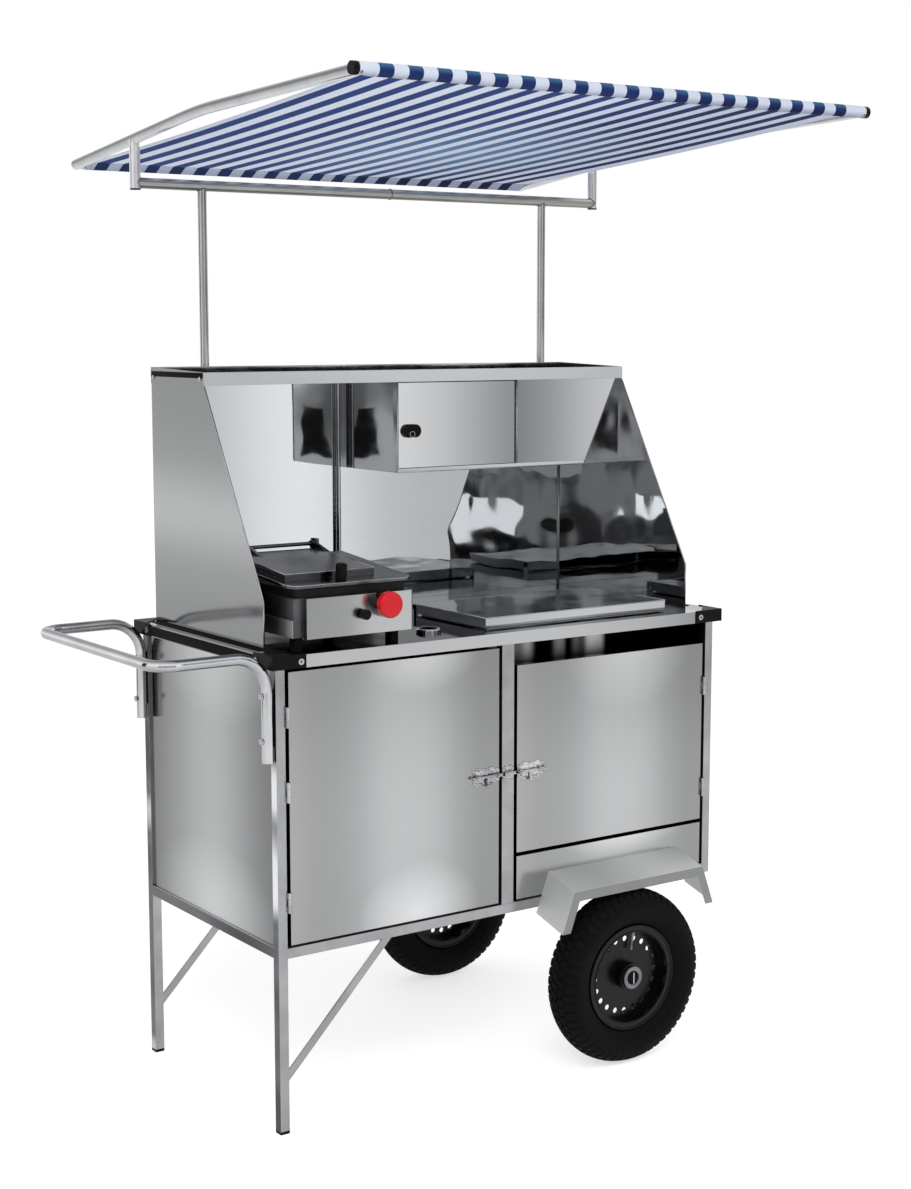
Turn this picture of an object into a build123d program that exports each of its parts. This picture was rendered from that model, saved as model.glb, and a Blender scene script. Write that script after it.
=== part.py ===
"""Hot dog cart: a stainless cabinet on two legs and two wheels, with a hood, a gas press,
a lidded hot water basin and a striped canopy.

Millimetres. While modelling, x = 0 is the left face of the cabinet frame, y = 0 its front face
and z = 0 the floor. The parts are written with the origin under the middle of the whole cart.
"""
import os
from math import atan2, cos, radians, sin

from build123d import *

# Cabinet frame of square tube
cabinet_length = 1100.0
cabinet_depth = 560.0
frame_tube = 20.0
centre_post_width = 30.0
frame_wall = 1.5
ground_clearance = 351.0
worktop_height = 942.0
left_bay_width = 509.0

# Sheet metal
sheet = 1.0
panel_recess = 5.0
worktop_overhang = 12.0
worktop_skirt = 25.0

# Legs
foot_plug_height = 6.0
foot_plug_insert = 15.0
plug_clearance = 0.15
brace_width = 16.0
brace_thickness = 3.0
brace_leg_height = 109.0
brace_rail_reach = 255.0

# Doors
door_depth = 18.0
door_side_gap = 8.0
door_edge_gap = 4.0
left_door_top_gap = 12.0
access_slot_height = 52.0
lower_panel_height = 96.0
door_hinge_length = 40.0
left_hinge_heights = (462.0, 678.0, 823.0)
right_hinge_heights = (548.0, 775.0)

# Butt hinges, for the doors and the cupboard
hinge_pin_radius = 1.2
hinge_leaf = 1.2
hinge_leaf_depth = 16.0
running_clearance = 0.06
knuckle_gap = 0.3

# Barrel bolts
bolt_height = 648.0
bolt_case_length = 62.0
bolt_case_width = 24.0
bolt_plate = 1.2
bolt_rod_radius = 3.0
bolt_axis_out = 6.0
bolt_strap_width = 9.0
bolt_strap_wall = 1.4
bolt_travel = 15.0
bolt_knob_stem_radius = 2.4
bolt_knob_ball_radius = 4.2
bolt_knob_length = 18.0
bolt_tip_past_door = 2.5
keeper_hole_clearance = 0.4

# Hood, tray and cupboard
hood_inset = 17.0
hood_back_inset = 30.0
hood_foot_front = 72.0
hood_kink_height = 95.0
hood_top_front = 300.0
hood_height = 498.0
tray_front_lip = 26.0
tray_back_lip = 33.0
hood_post_radius = 5.0
hood_post_x = 462.0
hood_post_off_back = 3.0
tube_wall = 1.5
cupboard_left = 480.0
cupboard_front_set_back = 10.0
cupboard_height = 192.0
cupboard_bottom_lip = 9.0
cupboard_door_width = 306.0
cupboard_door_depth = 12.0
cupboard_hinge_margin = 8.0
cupboard_hinge_gap = 5.0
lock_from_left = 33.0
lock_height = 88.0
lock_handle_half = 23.0
lock_handle_rounding = 14.0
lock_handle_height = 6.0
key_slot_half = 5.0
lock_barrel_radius = 8.0
lock_cam_length = 28.0
lock_cam_width = 10.0
lock_cam_thickness = 2.5
lock_catch = 9.0

# Canopy
canopy_tube_radius = 11.0
canopy_centre_x = 592.0
canopy_half_width = 596.0
canopy_tube_overhang = 13.0
front_tube_y = -316.0
front_tube_z = 1984.0
back_tube_y = 819.0
back_tube_z = 1902.0
arm_bend_y = 260.0
arm_bend_z = 1966.0
arm_bend_radius = 1500.0
crossbar_z = 1846.0
pole_radius = 9.5
pole_half_spacing = 444.0
pole_depth_in_sleeve = 250.0
sleeve_wall = 2.5
sleeve_top_below_tray = 30.0
sleeve_length = 270.0
pole_clearance = 0.3
stub_below_bar = 11.5
weld_gap = 0.1
end_cap_rim = 0.6
end_cap_thickness = 4.0
stub_cap_thickness = 2.5
end_cap_plug = 15.0
awning_thickness = 0.8
awning_clearance = 0.3
awning_side_gap = 13.0

# Push handle
handle_radius = 11.0
handle_reach = 240.0
handle_height = 942.0
handle_bend = 68.0
handle_corner = 48.0
handle_front_y = 10.0
handle_back_inset = 14.0
handle_foot_height = 738.0
handle_spacer = 2.0
handle_spacer_width = 12.0
handle_bolt_rises = (42.0, 128.0)
handle_bolt_radius = 3.0
handle_bolt_head = 6.0
handle_bolt_head_height = 4.0
bolt_hole_clearance = 0.3

# Wheels and fenders
wheel_x = 806.0
wheel_out = 62.0
tyre_radius = 187.5
tyre_half_width = 45.0
tyre_shoulder_drop = 9.5
tyre_shoulder_half = 32.0
rim_seat_radius = 101.6
rim_flange_radius = 114.0
rim_half_width = 25.0
rim_gauge = 3.0
tyre_clearance = 0.4
disc_offset = 4.0
vent_hole_count = 20
vent_hole_radius = 6.0
vent_circle_radius = 79.0
hub_radius = 29.0
hub_outer = 26.0
hub_inner = 26.0
axle_radius = 10.0
axle_nut_radius = 24.0
axle_nut_thickness = 6.0
axle_nut_gap = 0.5
bracket_below_axle = 22.0
fender_x = 826.0
fender_top = 423.0
fender_top_half = 176.0
fender_foot_half = 207.0
fender_foot_height = 338.0
fender_width = 90.0
fender_fall = 25.0
fender_lip = 20.0

# Corner caps and screws
cap_leg = 72.0
cap_wall = 2.0
cap_flange = 58.0
cap_screw_in = 60.0
cap_screw_radius = 6.0
screw_radius = 4.0
screw_head = 2.2

# Hot water basin with its lid and burner
lid_left = 513.0
lid_right = 993.0
lid_front = 36.0
lid_back = 300.0
lid_bottom_gap = 4.0
lid_height = 21.0
lid_axis_from_back = 8.0
lid_axis_height = 15.5
lid_pin_radius = 3.0
lid_pin_engage = 8.0
lid_bracket = 4.0
lid_bracket_gap = 0.6
lid_bracket_depth = 18.0
basin_lid_margin = 9.0
basin_flange = 12.0
basin_depth = 150.0
pan_count = 2
pan_flange = 7.0
pan_depth = 110.0
pan_gap = 1.0
burner_radius = 13.0
burner_below_basin = 45.0
burner_length = 330.0
burner_hanger_width = 20.0
burner_hanger = 3.0
ring_x = 405.0
ring_y = 85.0
ring_bore_radius = 19.0
ring_radius = 26.0
ring_height = 8.0
ring_collar = 1.5

# Gas press
press_left = 48.0
press_width = 270.0
press_front = 12.0
press_depth = 280.0
press_foot_height = 28.0
press_body_height = 75.0
press_wall = 1.5
press_panel_left = 22.0
press_panel_right = 10.0
press_panel_proud = 12.0
press_panel_drop = 3.0
press_foot_width = 18.0
press_foot_length = 24.0
press_foot_inset = 7.0
press_foot_right_inset = 28.0
hot_plate_margin = 12.0
hot_plate_height = 15.0
press_gap = 2.5
press_lid_plate = 6.0
press_lid_overhang = 5.0
press_lid_back_gap = 6.0
press_lid_tilt = 5.5
press_lid_corner = 24.0
press_weight_left = 14.0
press_weight_width = 202.0
press_weight_front = 53.0
press_weight_depth = 212.0
press_weight_height = 12.0
press_axis_behind = 8.0
press_axis_height = 67.5
press_pin_radius = 4.0
press_lug = 8.0
press_lug_below_top = 24.0
press_lug_width = 20.0
press_lug_offset = 45.0
press_arm_length = 60.0
press_knob_radius = 11.0
press_knob_height = 32.0
press_knob_from_front = 26.0
press_knob_from_left = 123.0
press_skirt_proud = 3.0
press_skirt_height = 34.0
gas_knob_from_right = 68.0
gas_knob_height = 54.0
gas_knob_radius = 26.0
gas_knob_length = 36.0
gas_spindle_radius = 5.0
igniter_from_gas_knob = 47.0
igniter_below_gas_knob = 17.0
igniter_radius = 10.0
igniter_length = 14.0
igniter_stem_radius = 4.0
igniter_gap = 6.0

# Values worked out from the ones above
rail_top = ground_clearance + frame_tube
frame_top = worktop_height - sheet
top_rail_foot = frame_top - frame_tube
floor_top = rail_top + sheet
inner_left = frame_tube
inner_right = cabinet_length - frame_tube
inner_back = cabinet_depth - frame_tube
centre_post_left = inner_left + left_bay_width
centre_post_right = centre_post_left + centre_post_width
skirt_foot = worktop_height - worktop_skirt
left_door_top = top_rail_foot - left_door_top_gap
lower_panel_top = floor_top + lower_panel_height
right_door_bottom = lower_panel_top + 2 * door_edge_gap
right_door_top = top_rail_foot - access_slot_height
hood_back = cabinet_depth - hood_back_inset
hood_right = cabinet_length - hood_inset
tray_floor = worktop_height + hood_height
cupboard_front = hood_top_front + cupboard_front_set_back
cupboard_bottom = tray_floor - cupboard_height
cupboard_seam = cupboard_left + sheet + cupboard_door_width + 2 * sheet
sleeve_radius = pole_radius + pole_clearance + sleeve_wall
pole_y = hood_back + sheet + sleeve_radius
sleeve_top = tray_floor - sleeve_top_below_tray
pole_foot = sleeve_top - pole_depth_in_sleeve
arm_left = canopy_centre_x - canopy_half_width
arm_right = canopy_centre_x + canopy_half_width
tube_end_left = arm_left - canopy_tube_overhang
tube_end_right = arm_right + canopy_tube_overhang
sleeve_of_cloth = canopy_tube_radius + awning_clearance + awning_thickness
handle_x = -handle_spacer - handle_radius
handle_back_y = cabinet_depth - handle_back_inset
handle_bolt_heights = tuple(handle_foot_height + rise for rise in handle_bolt_rises)
axle_z = tyre_radius
press_floor = worktop_height + press_foot_height
press_top = press_floor + press_body_height
press_right = press_left + press_width
press_back = press_front + press_depth
press_panel_front = press_front - press_panel_proud
lid_foot = worktop_height + lid_bottom_gap
lid_axis_y = lid_back - lid_axis_from_back
lid_axis_z = worktop_height + lid_axis_height

# The origin of the finished part lies under the middle of the cart's box
cart_left = -handle_reach - handle_radius
cart_right = tube_end_right + end_cap_thickness
cart_front = front_tube_y - sleeve_of_cloth
cart_back = back_tube_y + sleeve_of_cloth
origin_x = (cart_left + cart_right) / 2
origin_y = (cart_front + cart_back) / 2


def block(x0, x1, y0, y1, z0, z1):
    """A box between two corners."""
    middle = Pos((x0 + x1) / 2, (y0 + y1) / 2, (z0 + z1) / 2)
    return middle * Box(x1 - x0, y1 - y0, z1 - z0)


def rod(start, end, radius):
    """A round bar from one point to another."""
    along = Vector(*end) - Vector(*start)
    seat = Plane(origin=start, z_dir=along)
    return seat * Cylinder(radius, along.length, align=(Align.CENTER, Align.CENTER, Align.MIN))


def pipe(start, end, radius, wall):
    """A round tube from one point to another."""
    return rod(start, end, radius) - rod(start, end, radius - wall)


def square_tube(x0, x1, y0, y1, z0, z1, axis):
    """A square tube along one axis, open at both ends."""
    inset = {"x": (0, 1, 1), "y": (1, 0, 1), "z": (1, 1, 0)}[axis]
    ix, iy, iz = (frame_wall * flag for flag in inset)
    return block(x0, x1, y0, y1, z0, z1) - block(x0 + ix, x1 - ix, y0 + iy, y1 - iy, z0 + iz, z1 - iz)


def plate(outline, plane, thickness):
    """A flat plate of a straight-sided outline, along the plane's normal."""
    return extrude(plane * make_face(Polyline(*outline, close=True)), thickness)


def open_box(x0, x1, y0, y1, z0, z1, open_side):
    """A thin sheet box with one side left off."""
    low_y = y0 + sheet
    high_y = y1 + sheet if open_side == "back" else y1 - sheet
    low_z = z0 - sheet if open_side == "bottom" else z0 + sheet
    high_z = z1 + sheet if open_side == "top" else z1 - sheet
    return block(x0, x1, y0, y1, z0, z1) - block(x0 + sheet, x1 - sheet, low_y, high_y, low_z, high_z)


def butt_hinge(axis_x, front, foot, head, door_side, gap):
    """A vertical butt hinge in the gap beside a door, with its knuckles in front of the door's face.

    door_side is +1 where the door lies to the right of the pin and -1 to its left.
    Returns the leaf that stays, with its pin, and the leaf that turns.
    """
    length = head - foot
    low = foot + 0.3 * length
    high = head - 0.3 * length
    half = gap / 2
    axis_y = front - half

    def leaf(side, z0, z1, near):
        inner = axis_x + side * (half - hinge_leaf)
        outer = axis_x + side * half
        return block(min(inner, outer), max(inner, outer), near, front + hinge_leaf_depth, z0, z1)

    def knuckle(z0, z1, bore):
        ring = rod((axis_x, axis_y, z0), (axis_x, axis_y, z1), half)
        return ring - rod((axis_x, axis_y, z0), (axis_x, axis_y, z1), bore) if bore else ring

    clear_of_knuckle = front + knuckle_gap
    pin = rod((axis_x, axis_y, foot), (axis_x, axis_y, head), hinge_pin_radius)
    fixed = leaf(-door_side, foot, head, clear_of_knuckle)
    for z0, z1 in ((foot, low), (high, head)):
        fixed += leaf(-door_side, z0, z1, axis_y) + knuckle(z0, z1, 0)
    fixed += pin
    turning = leaf(door_side, foot, head, clear_of_knuckle)
    turning += leaf(door_side, low + knuckle_gap, high - knuckle_gap, axis_y)
    bore = hinge_pin_radius + running_clearance
    turning += knuckle(low + knuckle_gap, high - knuckle_gap, bore)
    turning -= rod((axis_x, axis_y, foot), (axis_x, axis_y, head), bore)
    return fixed, turning


def frame_parts():
    """Legs, posts, rails, braces and foot plugs."""
    leg_foot = foot_plug_height
    columns = (
        (0, frame_tube, 0, frame_tube, leg_foot),
        (0, frame_tube, inner_back, cabinet_depth, leg_foot),
        (inner_right, cabinet_length, 0, frame_tube, ground_clearance),
        (inner_right, cabinet_length, inner_back, cabinet_depth, ground_clearance),
        (centre_post_left, centre_post_right, 0, frame_tube, rail_top),
    )
    uprights = []
    for x0, x1, y0, y1, foot in columns:
        head = top_rail_foot if x0 == centre_post_left else frame_top
        uprights.append(square_tube(x0, x1, y0, y1, foot, head, "z"))
    drill = handle_bolt_radius + bolt_hole_clearance
    for index, y in ((0, handle_front_y), (1, handle_back_y)):
        for z in handle_bolt_heights:
            uprights[index] -= rod((-frame_tube, y, z), (2 * frame_tube, y, z), drill)

    rails = []
    for z in (ground_clearance, top_rail_foot):
        for y in (0, inner_back):
            rails.append(square_tube(inner_left, inner_right, y, y + frame_tube, z, z + frame_tube, "x"))
        for x in (0, inner_right):
            rails.append(square_tube(x, x + frame_tube, frame_tube, inner_back, z, z + frame_tube, "y"))

    braces = []
    lean = atan2(ground_clearance - brace_leg_height, brace_rail_reach - frame_tube)
    rise = brace_width / cos(lean) / 2
    run = brace_width / sin(lean) / 2
    for y in (frame_tube / 2, cabinet_depth - frame_tube / 2):
        outline = (
            (frame_tube, brace_leg_height - rise),
            (brace_rail_reach + run, ground_clearance),
            (brace_rail_reach - run, ground_clearance),
            (frame_tube, brace_leg_height + rise),
        )
        flat = Plane(origin=(0, y + brace_thickness / 2, 0), x_dir=(1, 0, 0), z_dir=(0, -1, 0))
        braces.append(plate(outline, flat, brace_thickness))

    plugs = []
    bore = frame_wall + plug_clearance
    for y in (0, inner_back):
        shoe = block(0, frame_tube, y, y + frame_tube, 0, foot_plug_height)
        top = foot_plug_height + foot_plug_insert
        shoe += block(bore, frame_tube - bore, y + bore, y + frame_tube - bore, foot_plug_height, top)
        plugs.append(shoe)
    return {"uprights": uprights, "frame_rails": rails, "leg_braces": braces, "foot_plugs": plugs}


def cabinet_panels():
    """Fixed sheets that close the cabinet, and the worktop."""
    floor = block(sheet, cabinet_length - sheet, sheet, cabinet_depth - sheet, rail_top, floor_top)
    for x0, x1 in ((0, frame_tube), (inner_right, cabinet_length)):
        for y0, y1 in ((0, frame_tube), (inner_back, cabinet_depth)):
            floor -= block(x0, x1, y0, y1, rail_top, floor_top)
    floor -= block(centre_post_left, centre_post_right, 0, frame_tube, rail_top, floor_top)
    ends = [
        block(x, x + sheet, frame_tube, inner_back, floor_top, top_rail_foot)
        for x in (panel_recess, cabinet_length - panel_recess - sheet)
    ]
    back_y = cabinet_depth - panel_recess - sheet
    back = block(inner_left, inner_right, back_y, back_y + sheet, floor_top, top_rail_foot)
    left = centre_post_right + door_side_gap
    lower = open_box(left, inner_right - door_side_gap, 0, door_depth, floor_top, lower_panel_top, "back")

    low, high = -worktop_overhang, cabinet_length + worktop_overhang
    near, far = -worktop_overhang, cabinet_depth + worktop_overhang
    top = open_box(low, high, near, far, skirt_foot, worktop_height, "bottom")
    x0, x1, y0, y1 = basin_mouth()
    top -= block(x0 - sheet, x1 + sheet, y0 - sheet, y1 + sheet, skirt_foot, worktop_height)
    ring_hole = ring_bore_radius + ring_collar
    top -= rod((ring_x, ring_y, skirt_foot), (ring_x, ring_y, worktop_height), ring_hole + bolt_hole_clearance)
    return {
        "cabinet_floor": [floor],
        "end_panels": ends,
        "back_panel": [back],
        "lower_front_panel": [lower],
        "worktop": [top],
    }


def corner_parts():
    """Black corner caps on the worktop, and all the sheet metal screws."""
    caps = []
    screws = []
    low, high = -worktop_overhang, cabinet_length + worktop_overhang
    near, far = -worktop_overhang, cabinet_depth + worktop_overhang
    for x, sx in ((low, 1), (high, -1)):
        for y, sy in ((near, 1), (far, -1)):
            outer_x, outer_y = x - sx * cap_wall, y - sy * cap_wall
            top = worktop_height + cap_wall

            def box(xa, xb, ya, yb, z0, z1):
                return block(min(xa, xb), max(xa, xb), min(ya, yb), max(ya, yb), z0, z1)

            cap = box(outer_x, x + sx * cap_leg, outer_y, y, skirt_foot, top)
            cap += box(outer_x, x, outer_y, y + sy * cap_leg, skirt_foot, top)
            tip_x, tip_y = x + sx * cap_flange, y + sy * cap_flange
            corner = ((outer_x, outer_y), (tip_x, outer_y), (outer_x, tip_y))
            outline = corner if sx * sy > 0 else corner[::-1]
            cap += plate(outline, Plane.XY.offset(worktop_height), cap_wall)
            caps.append(cap)
            mid = (skirt_foot + worktop_height) / 2
            seat_x, seat_y = outer_x - sx * screw_head, outer_y - sy * screw_head
            screw_x, screw_y = x + sx * cap_screw_in, y + sy * cap_screw_in
            screws.append(rod((screw_x, outer_y, mid), (screw_x, seat_y, mid), cap_screw_radius))
            screws.append(rod((outer_x, screw_y, mid), (seat_x, screw_y, mid), cap_screw_radius))
    mid = tray_floor + tray_front_lip / 2
    for x, out in ((hood_inset - sheet, -1), (hood_right + sheet, 1)):
        for y in (hood_top_front + 4 * screw_head + screw_radius, hood_back - 4 * screw_head - screw_radius):
            screws.append(rod((x, y, mid), (x + out * screw_head, y, mid), screw_radius))
    return {"corner_caps": caps, "sheet_screws": screws}


def hood_parts():
    """Side and back panels of the hood, the tray on top, the cupboard and the hood's post."""
    profile = (
        (hood_foot_front, worktop_height),
        (hood_back, worktop_height),
        (hood_back, tray_floor),
        (hood_top_front, tray_floor),
        (hood_foot_front, worktop_height + hood_kink_height),
    )
    sides = [plate(profile, Plane.YZ.offset(x), sheet) for x in (hood_inset, hood_right - sheet)]
    back = block(hood_inset, hood_right, hood_back, hood_back + sheet, worktop_height, tray_floor)

    x0, x1 = hood_inset - sheet, hood_right + sheet
    y0, y1 = hood_top_front - sheet, hood_back + sheet
    front_top, back_top = tray_floor + tray_front_lip, tray_floor + tray_back_lip
    lip = ((y0, tray_floor), (y1, tray_floor), (y1, back_top), (y0, front_top))
    tray = plate(lip, Plane.YZ.offset(x0), x1 - x0)
    tray -= block(x0 + sheet, x1 - sheet, y0 + sheet, y1 - sheet, tray_floor + sheet, back_top)

    post_y = hood_back - hood_post_radius - hood_post_off_back
    post_foot, post_head = (hood_post_x, post_y, worktop_height), (hood_post_x, post_y, tray_floor)
    post = pipe(post_foot, post_head, hood_post_radius, tube_wall)

    right = hood_right - sheet
    shell = block(cupboard_left, cupboard_left + sheet, cupboard_front, hood_back, cupboard_bottom, tray_floor)
    shell += block(cupboard_left, right, cupboard_front, hood_back, cupboard_bottom, cupboard_bottom + sheet)
    lip_top = cupboard_bottom + cupboard_bottom_lip
    shell += block(cupboard_left, right, cupboard_front, cupboard_front + sheet, cupboard_bottom, lip_top)

    back_y = cupboard_front + cupboard_door_depth
    catch_x = cupboard_left + sheet + lock_catch
    shell += block(cupboard_left, catch_x, back_y + sheet, back_y + 2 * sheet, cupboard_bottom, tray_floor)

    foot, head = lip_top + sheet, tray_floor - 2 * sheet
    hinge_x = cupboard_seam + cupboard_hinge_gap / 2
    z0, z1 = foot + cupboard_hinge_margin, head - cupboard_hinge_margin
    fixed_leaf, door_leaf = butt_hinge(hinge_x, cupboard_front, z0, z1, -1, cupboard_hinge_gap)
    panel_left = cupboard_seam + cupboard_hinge_gap
    fixed = open_box(panel_left, right, cupboard_front, back_y, lip_top, tray_floor, "back")
    door = open_box(cupboard_left + 2 * sheet, cupboard_seam, cupboard_front, back_y, foot, head, "back")
    lock_x, lock_z = cupboard_left + lock_from_left, cupboard_bottom + lock_height
    hole = lock_barrel_radius + running_clearance
    door -= rod((lock_x, cupboard_front - sheet, lock_z), (lock_x, back_y, lock_z), hole)

    front = cupboard_front - lock_handle_height
    reach, round_end = lock_handle_half - lock_handle_rounding, lock_handle_rounding
    lock = block(lock_x - reach, lock_x + reach, front, cupboard_front, lock_z - round_end, lock_z + round_end)
    for x in (lock_x - reach, lock_x + reach):
        lock += rod((x, front, lock_z), (x, cupboard_front, lock_z), round_end)
    cam_y = back_y + 3 * sheet
    lock += rod((lock_x, cupboard_front, lock_z), (lock_x, cam_y, lock_z), lock_barrel_radius)
    cam = block(
        lock_x - lock_cam_width / 2, lock_x + lock_cam_width / 2,
        cam_y, cam_y + lock_cam_thickness,
        lock_z - lock_cam_length, lock_z + lock_barrel_radius,
    )
    key_y = front + lock_handle_height / 2
    key_z0, key_z1 = lock_z - key_slot_half, lock_z + key_slot_half
    key_slot = block(lock_x - sheet, lock_x + sheet, front, key_y, key_z0, key_z1)
    return {
        "hood_side_panels": sides,
        "hood_back_panel": [back],
        "top_tray": [tray],
        "hood_post": [post],
        "cupboard_shell": [shell],
        "cupboard_fixed_panel": [fixed, fixed_leaf],
        "cupboard_door": [door, door_leaf],
        "cupboard_lock": [lock + cam - key_slot],
    }


def door_parts():
    """The two cabinet doors with their hinges and barrel bolts."""
    left_x0, left_x1 = inner_left + door_side_gap, centre_post_left - door_side_gap
    right_x0, right_x1 = centre_post_right + door_side_gap, inner_right - door_side_gap
    left = open_box(left_x0, left_x1, 0, door_depth, floor_top + door_edge_gap, left_door_top, "back")
    right = open_box(right_x0, right_x1, 0, door_depth, right_door_bottom, right_door_top, "back")

    half = door_side_gap / 2
    fixed, left_leaves, right_leaves = [], [], []
    for heights, x, side, turning in (
        (left_hinge_heights, inner_left + half, 1, left_leaves),
        (right_hinge_heights, inner_right - half, -1, right_leaves),
    ):
        for z in heights:
            foot, head = z - door_hinge_length / 2, z + door_hinge_length / 2
            stay, turn = butt_hinge(x, 0, foot, head, side, door_side_gap)
            fixed.append(stay)
            turning.append(turn)

    axis_y = -bolt_axis_out
    half_width = bolt_case_width / 2
    plate_low, plate_high = bolt_height - half_width, bolt_height + half_width

    def strap(x0, x1):
        """A sheet loop over the rod, with its feet on the plate."""
        outer = bolt_rod_radius + bolt_strap_wall
        loop = rod((x0, axis_y, bolt_height), (x1, axis_y, bolt_height), outer)
        return loop + block(x0, x1, axis_y, -bolt_plate, bolt_height - outer, bolt_height + outer)

    def barrel_bolt(edge, inward):
        """A plate with two straps, and the rod with its knob; inward points away from the post."""
        far = edge + inward * bolt_case_length
        low, high = min(edge, far), max(edge, far)
        case = block(low, high, -bolt_plate, 0, plate_low, plate_high)
        for x in (low + sheet, high - sheet - bolt_strap_width):
            case += strap(x, x + bolt_strap_width)
        hole = bolt_rod_radius + running_clearance
        case -= rod((low - sheet, axis_y, bolt_height), (high + sheet, axis_y, bolt_height), hole)
        tip = edge - inward * bolt_tip_past_door
        tail = far + inward * (bolt_travel - sheet - bolt_strap_width / 2)
        slide = rod((tip, axis_y, bolt_height), (tail, axis_y, bolt_height), bolt_rod_radius)
        knob_x = edge + inward * (3 * sheet + bolt_strap_width + bolt_travel + bolt_knob_ball_radius)
        knob_foot = bolt_height - bolt_knob_length
        slide += rod((knob_x, axis_y, bolt_height), (knob_x, axis_y, knob_foot), bolt_knob_stem_radius)
        slide += Pos(knob_x, axis_y, knob_foot) * Sphere(bolt_knob_ball_radius)
        return case, slide

    left_case, left_rod = barrel_bolt(left_x1, -1)
    right_case, right_rod = barrel_bolt(right_x0, 1)
    x0, x1 = centre_post_left + sheet, centre_post_right - sheet
    keeper = block(x0, x1, -bolt_plate, 0, plate_low, plate_high) + strap(x0, x1)
    hole = bolt_rod_radius + keeper_hole_clearance
    keeper -= rod((x0, axis_y, bolt_height), (x1, axis_y, bolt_height), hole)
    return {
        "left_door": [left],
        "right_door": [right],
        "door_hinge_posts": fixed,
        "left_door_hinges": left_leaves,
        "right_door_hinges": right_leaves,
        "left_bolt_case": [left_case],
        "left_bolt": [left_rod],
        "right_bolt_case": [right_case],
        "right_bolt": [right_rod],
        "bolt_keeper": [keeper],
    }


def canopy_parts():
    """Sleeves, poles, crossbar, bowed arms, cloth tubes, black caps and the awning."""
    r = canopy_tube_radius
    pole_xs = (canopy_centre_x - pole_half_spacing, canopy_centre_x + pole_half_spacing)
    sleeves = []
    poles = []
    bar_solid = rod((arm_left, pole_y, crossbar_z), (arm_right, pole_y, crossbar_z), r)
    for x in pole_xs:
        foot = sleeve_top - sleeve_length
        sleeve = rod((x, pole_y, foot), (x, pole_y, sleeve_top), sleeve_radius)
        bore = pole_radius + pole_clearance
        sleeves.append(sleeve - rod((x, pole_y, pole_foot), (x, pole_y, sleeve_top), bore))
        pole = pipe((x, pole_y, pole_foot), (x, pole_y, crossbar_z), pole_radius, tube_wall)
        poles.append(pole - rod((arm_left, pole_y, crossbar_z), (arm_right, pole_y, crossbar_z), r + weld_gap))

    arms = []
    arm_solids = []
    stubs = []
    stub_solids = []
    front_axis = ((tube_end_left, front_tube_y, front_tube_z), (tube_end_right, front_tube_y, front_tube_z))
    back_axis = ((arm_left, back_tube_y, back_tube_z), (arm_right, back_tube_y, back_tube_z))
    stub_foot = crossbar_z - stub_below_bar
    stub_head = max(arm_bend_z, back_tube_z)
    for x in (arm_left, arm_right):
        bend, back = Vector(x, arm_bend_y, arm_bend_z), Vector(x, back_tube_y, back_tube_z)
        heel = back + (back - bend).normalized() * r
        path = FilletPolyline((x, front_tube_y, front_tube_z), bend, heel, radius=arm_bend_radius)
        envelope = sweep((path ^ 0) * Circle(r + weld_gap), path)
        arm_solids.append(envelope)
        arm = sweep((path ^ 0) * (Circle(r) - Circle(r - tube_wall)), path)
        arm += (path ^ 1) * Pos(0, 0, -tube_wall / 2) * Cylinder(r, tube_wall)
        arm -= rod(*front_axis, r + weld_gap)
        arms.append(arm.solids().sort_by(SortBy.VOLUME)[-1])
        stub = pipe((x, pole_y, stub_foot), (x, pole_y, stub_head), r, tube_wall) - envelope
        stubs.append(stub.solids().sort_by(Axis.Z)[0])
        stub_solids.append(rod((x, pole_y, stub_foot), (x, pole_y, stub_head), r + weld_gap))
    bar = bar_solid - rod((arm_left, pole_y, crossbar_z), (arm_right, pole_y, crossbar_z), r - tube_wall)
    for stub in stub_solids:
        bar -= stub
    bar = bar.solids().sort_by(SortBy.VOLUME)[-1]

    back_tube = pipe(*back_axis, r, tube_wall)
    for arm in arm_solids:
        back_tube -= arm
    tubes = [pipe(*front_axis, r, tube_wall), back_tube.solids().sort_by(SortBy.VOLUME)[-1]]
    caps = []
    plug = r - tube_wall - plug_clearance
    y, z = front_tube_y, front_tube_z
    for x, inward in ((tube_end_left, 1), (tube_end_right, -1)):
        cap = rod((x - inward * end_cap_thickness, y, z), (x, y, z), r + end_cap_rim)
        caps.append(cap + rod((x, y, z), (x + inward * end_cap_plug, y, z), plug))
    for x in (arm_left, arm_right):
        cap = rod((x, pole_y, stub_foot - stub_cap_thickness), (x, pole_y, stub_foot), r)
        caps.append(cap + rod((x, pole_y, stub_foot), (x, pole_y, stub_foot + end_cap_plug), plug))

    inner = r + awning_clearance
    slope = atan2(back_tube_z - front_tube_z, back_tube_y - front_tube_y)
    up_y, up_z = -sin(slope) * awning_thickness / 2, cos(slope) * awning_thickness / 2
    x0, x1 = arm_left + awning_side_gap, arm_right - awning_side_gap
    front, back = (front_tube_y, front_tube_z), (back_tube_y, back_tube_z)
    corners = [(y - up_y, z - up_z) for y, z in (front, back)]
    corners += [(y + up_y, z + up_z) for y, z in (back, front)]
    awning = plate(corners, Plane.YZ.offset(x0), x1 - x0)
    for y, z in (front, back):
        awning += rod((x0, y, z), (x1, y, z), sleeve_of_cloth)
    for y, z in (front, back):
        awning -= rod((x0, y, z), (x1, y, z), inner)
    return {
        "pole_sleeves": sleeves,
        "canopy_poles": poles,
        "canopy_crossbar": [bar] + stubs,
        "canopy_arms": arms,
        "canopy_tubes": tubes,
        "canopy_end_caps": caps,
        "awning": [awning],
    }


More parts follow.
